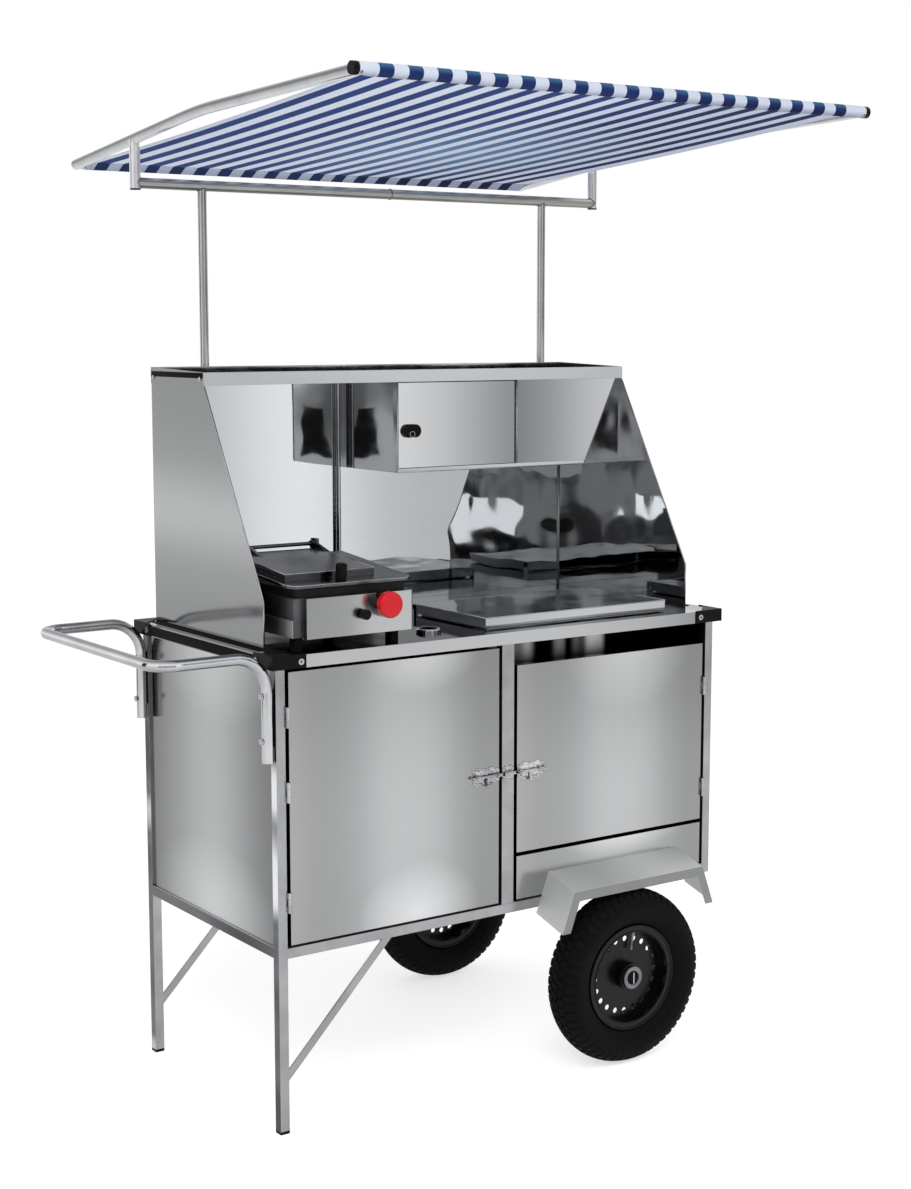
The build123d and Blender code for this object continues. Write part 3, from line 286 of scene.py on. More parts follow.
def fender_stainless():
    """Thick dull-ground stainless of the wheel guards: a top in painted light, a turned-down lip in painted
    shade.
    """
    material, tree, shader, coords = new_material("dull_ground_fender_stainless")
    facing = add(tree, "SeparateXYZ", {"Vector": coords["Normal"]}, out="Y")
    outward = add(tree, "Math", {0: facing}, operation="ABSOLUTE")
    # Painted shade: the turned-down lip is painted greyer than the top.
    lip = add(tree, "MapRange", {"Value": outward, "From Min": 0.4, "From Max": 0.8})
    along = add(tree, "SeparateXYZ", {"Vector": coords["Generated"]}, out="X")
    # Painted light: the top is painted light, with a painted sheen along the guard.
    top = add(tree, "ValToRGB", {"Fac": along}, stops=FENDER_PAINTED_SHEEN)
    base = add(tree, "Mix", {0: lip, 6: top, 7: srgb("#9d9e9f")}, **COLOURS)
    cloud = add(tree, "TexNoise", {"Vector": coords["Object"], "Scale": per_metre(30), "Detail": 4.0})
    gloss = add(tree, "MapRange", {"Value": cloud, "To Min": 0.58, "To Max": 0.68})
    edge = add(tree, "Bevel", {"Radius": SHEET_EDGE}, samples=4)
    ground = relief(tree, coords, 1.5, 2.0, 0.02, Strength=0.4, Normal=edge)
    wire(tree, shader, {"Base Color": base, "Metallic": 1.0, "Roughness": gloss, "Normal": ground})
    return material


def red_knob_plastic():
    """Glossy red moulded ABS; its back, next to the panel, is painted a near-black red as painted shade."""
    material, tree, shader, coords = new_material("red_moulded_abs")
    depth = add(tree, "SeparateXYZ", {"Vector": coords["Generated"]}, out="Y")
    # Painted shade: the back of the knob, next to the panel, is painted a near-black red.
    shaded_back = add(tree, "MapRange", {"Value": depth, "From Min": 0.3, "From Max": 0.34})
    cloud = add(tree, "TexNoise", {"Vector": coords["Object"], "Scale": per_metre(9), "Detail": 3.0})
    red = add(tree, "ValToRGB", {"Fac": cloud}, stops=[(0.3, "#c6121d"), (0.7, "#cd1621")])
    base = add(tree, "Mix", {0: shaded_back, 6: red, 7: srgb("#1c060d")}, **COLOURS)
    gloss = add(tree, "MapRange", {"Value": cloud, "To Min": 0.22, "To Max": 0.28})
    edge = add(tree, "Bevel", {"Radius": KNOB_EDGE}, samples=6)
    wire(tree, shader, {"Base Color": base, "Roughness": gloss, "Normal": edge, "Specular IOR Level": 0.35})
    return material


def drawn_metal(name, dark, light, smooth, rough, dents=0.0):
    """Plating on drawn or pressed steel: an even colour, cloudy gloss and fine drawing marks.

    Dents, in millimetres, are the ripples of a thin pressing, which break reflections into flecks.
    """
    material, tree, shader, coords = new_material(name)
    cloud = add(tree, "TexNoise", {"Vector": coords["Object"], "Scale": per_metre(40), "Detail": 3.0})
    base = add(tree, "ValToRGB", {"Fac": cloud}, stops=[(0.3, dark), (0.7, light)])
    speck = add(tree, "TexNoise", {"Vector": coords["Object"], "Scale": per_metre(5), "Detail": 4.0})
    gloss = add(tree, "MapRange", {"Value": speck, "To Min": smooth, "To Max": rough})
    edge = add(tree, "Bevel", {"Radius": FITTING_EDGE}, samples=4)
    if dents:
        edge = relief(tree, coords, 9, 1.0, dents, Normal=edge)
    wear_and_glare = relief(tree, coords, 0.9, 2.0, 0.006, Strength=0.3, Normal=edge)
    wire(tree, shader, {"Base Color": base, "Metallic": 1.0, "Roughness": gloss, "Normal": wear_and_glare})
    return material


# Across the basin: light and dark bands at its left, then near black, which is painted shade.
BASIN_BANDS_AND_PAINTED_SHADE = [
    (0.2, "#6a6a6a"), (0.245, "#a0a0a0"), (0.285, "#242424"), (0.385, "#202020"), (0.41, "#787878"),
    (0.445, "#707070"), (0.465, "#242424"), (0.495, "#242424"), (0.515, "#5c5c5c"), (0.57, "#5c5c5c"),
    (0.595, "#c0c0c0"), (0.665, "#b0b0b0"), (0.695, "#141414"), (1.0, "#040404"),
]


def basin_stainless_painted_shade():
    """The basin's stainless: bright on the worktop, light and dark bands at its left, black painted shade
    elsewhere.
    """
    material, tree, shader, coords = new_material("basin_stainless_painted_shade")
    height = add(tree, "SeparateXYZ", {"Vector": coords["Object"]}, out="Z")
    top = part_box("worktop")[1].z
    above_worktop = add(tree, "MapRange", {"Value": height, "From Min": top - 4 * MM, "From Max": top - 1 * MM})
    streaks = (per_metre(24), per_metre(24), per_metre(260))
    place = add(tree, "Mapping", {"Vector": coords["Object"], "Scale": streaks})
    run = add(tree, "TexNoise", {"Vector": place, "Scale": 1.0, "Detail": 3.0})
    across = add(tree, "SeparateXYZ", {"Vector": coords["Generated"]}, out="X")
    uneven = add(tree, "MapRange", {"Value": run, "To Min": -0.01, "To Max": 0.01})
    wandering = add(tree, "Math", {0: across, 1: uneven})
    # Painted shade: below the worktop's top the basin is painted in these bands, mostly near black.
    soot = add(tree, "ValToRGB", {"Fac": wandering}, stops=BASIN_BANDS_AND_PAINTED_SHADE)
    base = add(tree, "Mix", {0: above_worktop, 6: soot, 7: srgb("#c4c6c8")}, **COLOURS)
    gloss = add(tree, "MapRange", {"Value": run, "To Min": 0.35, "To Max": 0.5})
    wire(tree, shader, {"Base Color": base, "Metallic": 1.0, "Roughness": gloss})
    return material


PRESS_PANEL_TONE = [(0.08, "#989999"), (0.45, "#a4a5a6"), (0.6, "#bcbdbe"), (1.0, "#c0c1c2")]


def press_steel():
    """The press's stainless box: a bright buffed front with a painted sheen, side skirts, and a darker body.
    """
    material, tree, shader, coords = new_material("darker_bodied_press_steel")
    spot = add(tree, "SeparateXYZ", {"Vector": coords["Object"]}, out=None)
    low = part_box("press_body")[0]
    body = add(tree, "MapRange", {
        "Value": spot["Y"], "From Min": low.y + 3 * MM, "From Max": low.y + 5 * MM,
    })
    inboard = add(tree, "MapRange", {
        "Value": spot["X"], "From Min": low.x + 1 * MM, "From Max": low.x + 2 * MM,
    })
    cloud = add(tree, "TexNoise", {"Vector": coords["Object"], "Scale": per_metre(70), "Detail": 2.0})
    across = add(tree, "SeparateXYZ", {"Vector": coords["Generated"]}, out="X")
    # Painted sheen: the front is painted lighter towards its right.
    bright = add(tree, "ValToRGB", {"Fac": across}, stops=PRESS_PANEL_TONE)
    darker_tone = add(tree, "ValToRGB", {"Fac": cloud}, stops=[(0.3, "#525355"), (0.7, "#6a6b6d")])
    sides = add(tree, "Mix", {0: inboard, 6: srgb("#a4a5a7"), 7: darker_tone}, **COLOURS)
    base = add(tree, "Mix", {0: body, 6: bright, 7: sides}, **COLOURS)
    uneven = add(tree, "MapRange", {"Value": cloud, "To Min": 0.16, "To Max": 0.3})
    gloss = add(tree, "Math", {0: body, 1: 0.2, 2: uneven}, operation="MULTIPLY_ADD")
    edge = add(tree, "Bevel", {"Radius": SHEET_EDGE}, samples=4)
    wire(tree, shader, {"Base Color": base, "Metallic": 1.0, "Roughness": gloss, "Normal": edge})
    return material


SLAB_LEFT, SLAB_RIGHT = 62.0, 264.0
SLAB_FRONT, SLAB_BACK = 66.0, 278.0
SLAB_SIDE_MARGIN, SLAB_FRONT_MARGIN = 1.0, 3.0
DARK_REFLECTION_REACH = 120.0


def press_lid_steel():
    """The press's lid: a lighter buffed slab with a dark painted reflection in its middle, on a darker plate.
    """
    material, tree, shader, coords = new_material("lid_steel_painted_reflection")
    spot = add(tree, "SeparateXYZ", {"Vector": coords["Object"]}, out=None)
    slab = within(
        tree,
        (spot["X"], "GREATER_THAN", at(SLAB_LEFT - SLAB_SIDE_MARGIN, 0, 0).x),
        (spot["X"], "LESS_THAN", at(SLAB_RIGHT + SLAB_SIDE_MARGIN, 0, 0).x),
        (spot["Y"], "GREATER_THAN", at(0, SLAB_FRONT - SLAB_FRONT_MARGIN, 0).y),
    )
    cloud = add(tree, "TexNoise", {"Vector": coords["Object"], "Scale": per_metre(80), "Detail": 2.0})
    buffed = add(tree, "ValToRGB", {"Fac": cloud}, stops=[(0.35, "#606163"), (0.65, "#7c7d7f")])
    darker_tone = add(tree, "ValToRGB", {"Fac": cloud}, stops=[(0.35, "#4c4d4f"), (0.65, "#66676a")])
    base = add(tree, "Mix", {0: slab, 6: darker_tone, 7: buffed}, **COLOURS)
    reflection_middle = at((SLAB_LEFT + SLAB_RIGHT) / 2, (SLAB_FRONT + SLAB_BACK) / 2, 0)
    reach = (DARK_REFLECTION_REACH * MM, DARK_REFLECTION_REACH * MM)
    # Painted reflection: a dark round patch painted in the lid's middle.
    tint = round_patch(tree, (spot["X"], spot["Y"]), reflection_middle, reach, "QUADRATIC_SPHERE")
    base = add(tree, "Mix", {0: tint, 6: base, 7: srgb("#2c2c2e")}, **COLOURS)
    gloss = add(tree, "MapRange", {"Value": cloud, "To Min": 0.14, "To Max": 0.26})
    edge = add(tree, "Bevel", {"Radius": SHEET_EDGE}, samples=4)
    wire(tree, shader, {"Base Color": base, "Metallic": 1.0, "Roughness": gloss, "Normal": edge})
    return material


def moulded(name, dark, light, smooth, rough, pebble_mm, depth_mm, sheen):
    """Moulded plastic, rubber, cast iron or paint: two near shades, a pebbled skin and uneven gloss."""
    material, tree, shader, coords = new_material(name)
    cloud = add(tree, "TexNoise", {"Vector": coords["Object"], "Scale": per_metre(16), "Detail": 4.0})
    base = add(tree, "ValToRGB", {"Fac": cloud}, stops=[(0.3, dark), (0.7, light)])
    gloss = add(tree, "MapRange", {"Value": cloud, "To Min": smooth, "To Max": rough})
    edge = add(tree, "Bevel", {"Radius": MOULDED_EDGE}, samples=4)
    skin = relief(tree, coords, pebble_mm, 2.0, depth_mm, Strength=0.5, Normal=edge)
    wire(tree, shader, {"Base Color": base, "Roughness": gloss, "Normal": skin, "Specular IOR Level": sheen})
    return material


# Tones run from left to right, front to back or foot to head of a sheet, and round a tube from below up;
# they are painted light and shade: painted sheen and reflections on the sheets, lighter and darker bands on
# the tubes. Each spot is a painted highlight: its middle, its reach and its strength.
DOOR_PAINTED_SHEEN = [
    (0.0, "#a0a0a0"), (0.14, "#979898"), (0.32, "#a1a2a3"), (0.44, "#b0b1b2"), (0.64, "#b0b1b2"),
    (0.76, "#a2a3a4"), (0.88, "#929393"), (1.0, "#8e8f8f"),
]
LEFT_DOOR_PAINTED_HIGHLIGHTS = [((0.6, 0.03), (0.3, 0.2), 0.62), ((0.62, 1.02), (0.28, 0.16), 0.62)]
RIGHT_DOOR_PAINTED_HIGHLIGHTS = [((0.58, 1.02), (0.34, 0.34), 0.45)]
END_PAINTED_SHEEN = [(0.0, "#767778"), (0.2, "#929394"), (0.45, "#b0b1b2"), (0.7, "#a0a1a2"), (1.0, "#757677")]
END_PAINTED_HIGHLIGHTS = [((0.48, 0.06), (0.5, 0.24), 0.4), ((0.45, 1.02), (0.5, 0.3), 0.4)]
HOOD_BACK_TONE = [
    (0.0, "#b4b6b8"), (0.16, "#ced0d2"), (0.33, "#e9ebed"), (0.5, "#cbcdcf"), (0.63, "#bbbdbf"),
    (1.0, "#b4b6b8"),
]
DOOR_TONE = [(0.0, "#dadbdd"), (0.5, "#bcbdbf"), (1.0, "#929395")]
FIXED_TONE = [(0.0, "#868789"), (0.5, "#adaeb0"), (1.0, "#cecfd1")]
SHEET_TONE = [(0.0, "#b8babc"), (0.5, "#c8cacc"), (1.0, "#bdbfc1")]
WORKTOP_TONE = [(0.0, "#bcbdbf"), (0.6, "#c2c3c5"), (0.85, "#b0b1b3"), (1.0, "#8e8f91")]
TOP_PAINTED_SHADE = [(0.4, "#606163"), (0.48, "#aeafb1"), (0.9, "#aeafb1"), (0.97, "#606163")]
ARM_TUBE = [
    (0.0, "#d6d7d9"), (0.2, "#cfd0d2"), (0.42, "#b6b7b9"), (0.56, "#828385"), (0.7, "#727375"),
    (0.85, "#97989a"), (1.0, "#a0a1a3"),
]
HANDLE_TUBE = [
    (0.0, "#808183"), (0.25, "#a8a9ab"), (0.45, "#bcbdbf"), (0.66, "#e6e7e9"), (0.84, "#a4a5a7"),
    (1.0, "#747577"),
]
UPRIGHT_TUBE = [(0.0, "#6a6b6d"), (0.3, "#a0a1a3"), (0.5, "#bfc0c2"), (0.75, "#c2c3c5"), (1.0, "#cfd0d2")]
CROSSBAR_TUBE = [
    (0.0, "#7e7d78"), (0.3, "#a4a39e"), (0.46, "#bab9b4"), (0.5, "#f2f3f3"), (0.54, "#c2c1bc"),
    (0.75, "#cecdc6"), (1.0, "#d6d5ce"),
]

finishes = {
    "left_door": ground_stainless("ground_left_door", "X", DOOR_PAINTED_SHEEN, LEFT_DOOR_PAINTED_HIGHLIGHTS, 0.13, 0.2, True),
    "right_door": ground_stainless("ground_right_door", "X", DOOR_PAINTED_SHEEN, RIGHT_DOOR_PAINTED_HIGHLIGHTS, 0.13, 0.2, True),
    "satin_end": ground_stainless("ground_stainless_end", "Y", END_PAINTED_SHEEN, END_PAINTED_HIGHLIGHTS, 0.12, 0.18),
    "satin_back": ground_stainless("ground_stainless_back", "X", DOOR_PAINTED_SHEEN, LEFT_DOOR_PAINTED_HIGHLIGHTS, 0.13, 0.2),
    "satin_fender": fender_stainless(),
    "hood_ends": hood_stainless(),
    "square_tube": polished_square_tube(),
    "hood_back": buffed_stainless("buffed_hood_back", HOOD_BACK_TONE, 0.012, 0.04, 130, 0.9),
    "cupboard_door": buffed_stainless("buffed_cupboard_door", DOOR_TONE, 0.05, 0.09, 180, 0.5),
    "cupboard_panel": buffed_stainless("buffed_cupboard_panel", FIXED_TONE, 0.04, 0.07, 180, 0.5),
    "sheet": buffed_stainless("buffed_stainless_sheet", SHEET_TONE, 0.03, 0.08, 160, 1.4),
    "basin_lid": buffed_stainless("buffed_basin_lid", SHEET_TONE, 0.03, 0.08, 160, 1.4, ground_ends=True),
    "tray": buffed_stainless("buffed_top_tray", SHEET_TONE, 0.05, 0.1, 200, 0.8, True),
    "worktop": buffed_stainless("buffed_worktop", WORKTOP_TONE, 0.05, 0.12, 150, 1.2, True, TOP_PAINTED_SHADE),
    "cupboard_shell": buffed_stainless("buffed_cupboard_shell", SHEET_TONE, 0.008, 0.022, 180, 0.4),
    "arm_tube": polished_round_tube("polished_arm_tube", ARM_TUBE),
    "handle_tube": polished_round_tube("polished_handle_tube", HANDLE_TUBE),
    "upright_tube": polished_round_tube("polished_upright_tube", UPRIGHT_TUBE),
    "crossbar_tube": polished_round_tube("dulled_crossbar_tube", CROSSBAR_TUBE, 0.3, 0.4),
    "hardware": drawn_metal("bright_plating", "#a2a3a6", "#c2c3c6", 0.16, 0.3),
    "chrome": drawn_metal("chromed_pressing", "#a2a3a5", "#cfd0d2", 0.05, 0.12, 3.0),
    "dull_nickel": drawn_metal("dull_nickel_plating", "#c8c9cb", "#d8d9db", 0.42, 0.58),
    "zinc": drawn_metal("zinc_plating", "#6c6e72", "#888a8e", 0.3, 0.5),
    "basin": basin_stainless_painted_shade(),
    "press_body": press_steel(),
    "press_lid": press_lid_steel(),
    "cast_iron": moulded("seasoned_cast_iron", "#0a0a0a", "#161616", 0.45, 0.65, 1.2, 0.08, 0.3),
    "black_plastic": moulded("black_moulded_abs", "#050505", "#0a0a0b", 0.35, 0.55, 0.7, 0.03, 0.12),
    "rubber": moulded("matt_black_rubber", "#060606", "#0d0d0d", 0.65, 0.85, 0.9, 0.05, 0.12),
    "rim_paint": moulded("black_rim_enamel", "#040404", "#080809", 0.2, 0.35, 1.5, 0.02, 0.25),
    "red_plastic": red_knob_plastic(),
    "burner": moulded("scorched_burner_steel", "#252423", "#3a3836", 0.5, 0.7, 1.5, 0.05, 0.3),
}

node_finishes = {
    "left_door": ["left_door"],
    "right_door": ["right_door", "lower_front_panel"],
    "satin_end": ["end_panels"],
    "satin_back": ["back_panel"],
    "satin_fender": ["fenders"],
    "hood_ends": ["hood_side_panels"],
    "square_tube": ["uprights", "frame_rails", "leg_braces", "axle_brackets"],
    "hood_back": ["hood_back_panel"],
    "cupboard_door": ["cupboard_door"],
    "cupboard_panel": ["cupboard_fixed_panel"],
    "cupboard_shell": ["cupboard_shell"],
    "basin_lid": ["basin_lid"],
    "sheet": ["food_pans", "lid_brackets", "cabinet_floor"],
    "tray": ["top_tray"],
    "worktop": ["worktop"],
    "arm_tube": ["canopy_arms", "canopy_tubes"],
    "handle_tube": ["push_handle"],
    "upright_tube": ["hood_post", "canopy_poles", "pole_sleeves", "hose_ring"],
    "crossbar_tube": ["canopy_crossbar"],
    "hardware": ["sheet_screws", "handle_bolts", "door_hinge_posts", "left_door_hinges", "right_door_hinges"],
    "chrome": ["left_bolt_case", "left_bolt", "right_bolt_case", "right_bolt", "bolt_keeper"],
    "zinc": ["axle_nuts"],
    "basin": ["basin"],
    "press_body": ["press_body"],
    "press_lid": ["press_lid"],
    "cast_iron": ["press_hot_plate"],
    "black_plastic": [
        "corner_caps", "canopy_end_caps", "foot_plugs", "press_lid_knob", "igniter_button", "cupboard_lock",
    ],
    "rubber": ["handle_spacers", "press_feet", "front_tyre", "rear_tyre"],
    "rim_paint": ["front_rim", "rear_rim"],
    "red_plastic": ["gas_knob"],
    "burner": ["basin_burner", "press_burner"],
}


def dress(obj, material):
    """Give a piece one material all over."""
    if not obj.material_slots:
        obj.data.materials.append(material)
    for place in obj.material_slots:
        place.material = material


for finish, names in node_finishes.items():
    for name in names:
        dress(nodes[name], finishes[finish])


# Shapes: each is a list of points in metres and a list of faces


def circle(radius, steps):
    """Pairs of numbers round a circle."""
    turns = [2 * math.pi * k / steps for k in range(steps)]
    return [(radius * math.cos(a), radius * math.sin(a)) for a in turns]


def dome(radius, height, steps):
    """The profile of a domed head, from its rim to its top."""
    return [(radius * math.cos(a), height * math.sin(a)) for a in np.linspace(0, math.pi / 2, steps)]


def joined(shapes):
    """Several shapes as one."""
    points, faces = [], []
    for more_points, more_faces in shapes:
        start = len(points)
        points += more_points
        faces += [[start + i for i in face] for face in more_faces]
    return points, faces


def rings_of(points, count, closed_along, closed_round):
    """Faces between rows of points, each row holding count points."""
    rows = len(points) // count
    faces = []
    for k in range(rows if closed_along else rows - 1):
        for i in range(count if closed_round else count - 1):
            a, b = k * count, (k + 1) % rows * count
            j = (i + 1) % count
            faces.append((a + i, b + i, b + j, a + j))
    return faces


def turned(profile, foot, axis, steps=40, closed=False):
    """A turned shape: pairs of radius and height in millimetres, spun round an axis from its foot."""
    axis = Vector(axis).normalized()
    side = axis.orthogonal().normalized()
    other = axis.cross(side)
    points = []
    for c, s in circle(1.0, steps):
        out = side * c + other * s
        points += [foot + (out * r + axis * h) * MM for r, h in profile]
    return points, rings_of(points, len(profile), True, closed)


def bent_wire(path, radius, closed=False, steps=10):
    """A round wire of this radius in millimetres along a path of points."""
    count = len(path)
    points, side = [], None
    for i, p in enumerate(path):
        before = path[i - 1] if closed or i > 0 else p
        after = path[(i + 1) % count] if closed or i < count - 1 else p
        ahead = (after - before).normalized()
        side = ahead.orthogonal() if side is None else side - ahead * side.dot(ahead)
        side.normalize()
        other = ahead.cross(side)
        points += [p + (side * c + other * s) * radius * MM for c, s in circle(1.0, steps)]
    faces = rings_of(points, steps, closed, True)
    if not closed:
        faces += [tuple(range(steps)), tuple(range(len(points) - 1, len(points) - steps - 1, -1))]
    return points, faces


def bar(low, high, rounding):
    """A straight bar between two corners, with its edges rounded by some millimetres."""
    mesh = bmesh.new()
    bmesh.ops.create_cube(mesh, size=1.0)
    for v in mesh.verts:
        v.co = Vector([a + (b - a) * (c + 0.5) for a, b, c in zip(low, high, v.co)])
    edges = mesh.edges[:]
    bmesh.ops.bevel(mesh, geom=edges, offset=rounding * MM, segments=2, profile=0.5, affect="EDGES")
    mesh.verts.index_update()
    points = [v.co.copy() for v in mesh.verts]
    faces = [[v.index for v in f.verts] for f in mesh.faces]
    mesh.free()
    return points, faces


def new_piece(name, shape, body, finish, smooth=True):
    """A mesh in the part's frame, with its finish, that moves with a body."""
    points, faces = shape
    mesh = bpy.data.meshes.new(name)
    mesh.from_pydata([tuple(p) for p in points], [], faces)
    build = bmesh.new()
    build.from_mesh(mesh)
    bmesh.ops.remove_doubles(build, verts=build.verts[:], dist=0.001 * MM)
    bmesh.ops.recalc_face_normals(build, faces=build.faces[:])
    build.to_mesh(mesh)
    build.free()
    mesh.polygons.foreach_set("use_smooth", [smooth] * len(mesh.polygons))
    mesh.update()
    obj = bpy.data.objects.new(name, mesh)
    scene.collection.objects.link(obj)
    dress(obj, finishes[finish])
    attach(obj, body)
    return obj


# Awning: one striped cloth with a sewn sleeve round the front tube and one round the back tube

STRIPE_PITCH = 59.8
STRIPE_COUNT = 19
FIRST_STRIPE = 44.3
ARM_LEFT, ARM_RIGHT = -4.0, 1188.0
FRONT_TUBE = np.array([-316.0, 1984.0])
BACK_TUBE = np.array([819.0, 1902.0])
CLOTH_RADIUS = 11.9
CLOTH_SAG = 5.0
SLEEVE_SEAM = 27.0
SLEEVE_STEPS = 33
# Beyond the arms the cloth is cut away, except round the front tube between these angles from its seam.
SLEEVE_END_FROM, SLEEVE_END_TO = 95, 265
TAIL_DROP = 0.5
ARM_CLEARANCE = 13.0
CAP_REACH = 5.0
ROWS_BETWEEN_TUBES = 40
COLUMNS_BETWEEN_ARMS = 79

# Painted light: the blue from the side that faces down to the side that faces up, painted lighter on top.
BLUE_PAINTED_LIGHT = [(0.0, "#2c4684"), (0.35, "#1f3474"), (0.55, "#223f7c"), (0.75, "#3c6694"), (1.0, "#4c7aa2")]
# Painted shade: under the right half, which the hood shades, the underside is painted darker.
RIGHT_UNDERSIDE_PAINTED_SHADE = [(0.48, "#ffffff"), (0.62, "#b8c0d6"), (0.76, "#8c96b6"), (1.0, "#828eb2")]
WHITE_THREAD = [(0.3, "#e0e9ff"), (0.7, "#ecf3ff")]
# A pale painted glare on the blue in the middle of the cloth: its middle, its reach and its share.
GLARE_MIDDLE, GLARE_REACH, GLARE_SHARE = (0.58, 0.62), (0.36, 0.36), 0.7
LIGHT_THROUGH = 0.34


def striped_canvas():
    """Woven canvas in blue and white: a fine thread weave, with light through it.

    Its colour holds painted light and shade: the blue is painted lighter on faces turned up, faces turned
    down are painted darker, the most under the right half, and a pale painted glare lies on the blue in the
    middle.
    """
    material, tree, shader, coords = new_material("striped_canvas")
    x = add(tree, "SeparateXYZ", {"Vector": coords["Object"]}, out="X")
    start = CORNER.x + (FIRST_STRIPE - STRIPE_PITCH / 4) * MM
    pitch = {"Value": x, "From Min": start, "From Max": start + STRIPE_PITCH * MM}
    turns = add(tree, "MapRange", pitch, clamp=False)
    part = add(tree, "Math", {0: turns}, operation="FRACT")
    striped = within(
        tree,
        (turns, "GREATER_THAN", 0.0), (turns, "LESS_THAN", float(STRIPE_COUNT)), (part, "LESS_THAN", 0.5),
    )
    # The thread is 0.5 mm, drawn at 1 mm so that it shows.
    weave = add(tree, "TexNoise", {"Vector": coords["Object"], "Scale": per_metre(1.0), "Detail": 2.0})
    white = add(tree, "ValToRGB", {"Fac": weave}, stops=WHITE_THREAD)
    facing = add(tree, "SeparateXYZ", {"Vector": coords["Normal"]}, out="Z")
    upward = add(tree, "MapRange", {"Value": facing, "From Min": -1.0, "From Max": 1.0})
    # Painted light: the blue is painted lighter on faces turned up.
    lit_blue = add(tree, "ValToRGB", {"Fac": upward}, stops=BLUE_PAINTED_LIGHT)
    threads = add(tree, "ValToRGB", {"Fac": weave}, stops=[(0.3, "#e4e4e4"), (0.7, "#ffffff")])
    navy = add(tree, "Mix", {0: 1.0, 6: lit_blue, 7: threads}, blend_type="MULTIPLY", **COLOURS)
    spread = add(tree, "SeparateXYZ", {"Vector": coords["Generated"]}, out=None)
    # Painted shade: faces turned down are painted darker, the most under the right half.
    below = add(tree, "MapRange", {"Value": facing, "From Min": -0.2, "From Max": -0.6})
    shaded = add(tree, "Math", {0: below, 1: 0.25}, operation="MULTIPLY")
    deep = add(tree, "ValToRGB", {"Fac": spread["X"]}, stops=RIGHT_UNDERSIDE_PAINTED_SHADE)
    navy = add(tree, "Mix", {0: below, 6: navy, 7: deep}, blend_type="MULTIPLY", **COLOURS)
    white = add(tree, "Mix", {0: shaded, 6: white, 7: deep}, blend_type="MULTIPLY", **COLOURS)
    # Painted glare: a pale round patch painted on the blue in the middle.
    thin = round_patch(tree, (spread["X"], spread["Y"]), GLARE_MIDDLE, GLARE_REACH)
    wear_and_glare = add(tree, "Math", {0: thin, 1: GLARE_SHARE}, operation="MULTIPLY")
    navy = add(tree, "Mix", {0: wear_and_glare, 6: navy, 7: srgb("#7da6d2")}, **COLOURS)
    dye = add(tree, "Mix", {0: striped, 6: white, 7: navy}, **COLOURS)
    ripple = relief(tree, coords, 140, 1.0, 1.5)
    thread = add(tree, "Bump", {"Height": weave, "Distance": 0.15 * MM, "Strength": 0.5, "Normal": ripple})
    wire(tree, shader, {"Base Color": dye, "Roughness": 0.85, "Normal": thread})
    through = add(tree, "BsdfTranslucent", {"Color": dye})
    both = add(tree, "MixShader", {0: LIGHT_THROUGH, 1: shader.outputs[0], 2: through})
    wire(tree, tree.nodes["Material Output"], {"Surface": both})
    return material


finishes["canvas"] = striped_canvas()


def sleeve(tube, inward, up):
    """The path of a sleeve round a tube, from its seam over the top and round to its tail under the seam."""
    seam = tube + SLEEVE_SEAM * inward
    leave = math.acos(CLOTH_RADIUS / SLEEVE_SEAM)
    angles = np.linspace(leave, 2 * math.pi - leave, SLEEVE_STEPS)
    loop = [tube + CLOTH_RADIUS * (math.cos(a) * inward + math.sin(a) * up) for a in angles]
    return [seam, *loop, seam - TAIL_DROP * up], [0.0, *angles, 2 * math.pi]


def awning():
    """The cloth with its two sleeves, sagging a little between the tubes."""
    run = BACK_TUBE - FRONT_TUBE
    run = run / np.hypot(*run)
    up = np.array([-run[1], run[0]])
    front, front_angles = sleeve(FRONT_TUBE, run, up)
    back, _ = sleeve(BACK_TUBE, -run, up)
    middle = []
    for t in np.linspace(0, 1, ROWS_BETWEEN_TUBES + 2)[1:-1]:
        middle.append(front[0] + (back[0] - front[0]) * t - CLOTH_SAG * 4 * t * (1 - t) * up)
    path = front[::-1] + middle + back
    turns = front_angles[::-1]
    columns = [
        ARM_LEFT - CAP_REACH,
        *np.linspace(ARM_LEFT + ARM_CLEARANCE, ARM_RIGHT - ARM_CLEARANCE, COLUMNS_BETWEEN_ARMS),
        ARM_RIGHT + CAP_REACH,
    ]
    points = [at(x, y, z) for x in columns for y, z in path]
    rows = len(path)
    faces = []
    for i in range(len(columns) - 1):
        past_the_arm = i in (0, len(columns) - 2)
        for j in range(rows - 1):
            in_front = j < len(front) - 1 and SLEEVE_END_FROM < math.degrees(turns[j]) < SLEEVE_END_TO
            if past_the_arm and not in_front:
                continue
            a = i * rows + j
            faces.append((a, a + rows, a + rows + 1, a + 1))
    cloth = new_piece("awning_cloth", (points, faces), "chassis", "canvas")
    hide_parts("awning")


awning()

RIVET = dome(radius=2.8, height=1.4, steps=6)
RIVET_FROM_ARM = 1.0
RIVET_SLANT = math.radians(36)


def cloth_rivets():
    """Domed rivets that hold the cloth to the front tube beside its end caps."""
    out = Vector((0, -math.cos(RIVET_SLANT), -math.sin(RIVET_SLANT)))
    shapes = []
    for x in (ARM_LEFT - RIVET_FROM_ARM, ARM_RIGHT + RIVET_FROM_ARM):
        face = at(x, *FRONT_TUBE) + out * CLOTH_RADIUS * MM
        shapes.append(turned(RIVET, face, out, steps=16))
    new_piece("cloth_rivets", joined(shapes), "chassis", "zinc")


CAP_SKIRT = [(11.0, 0.0), (11.5, 0.0), (11.8, 0.4), (11.8, 7.6), (11.6, 8.0), (11.0, 8.0)]


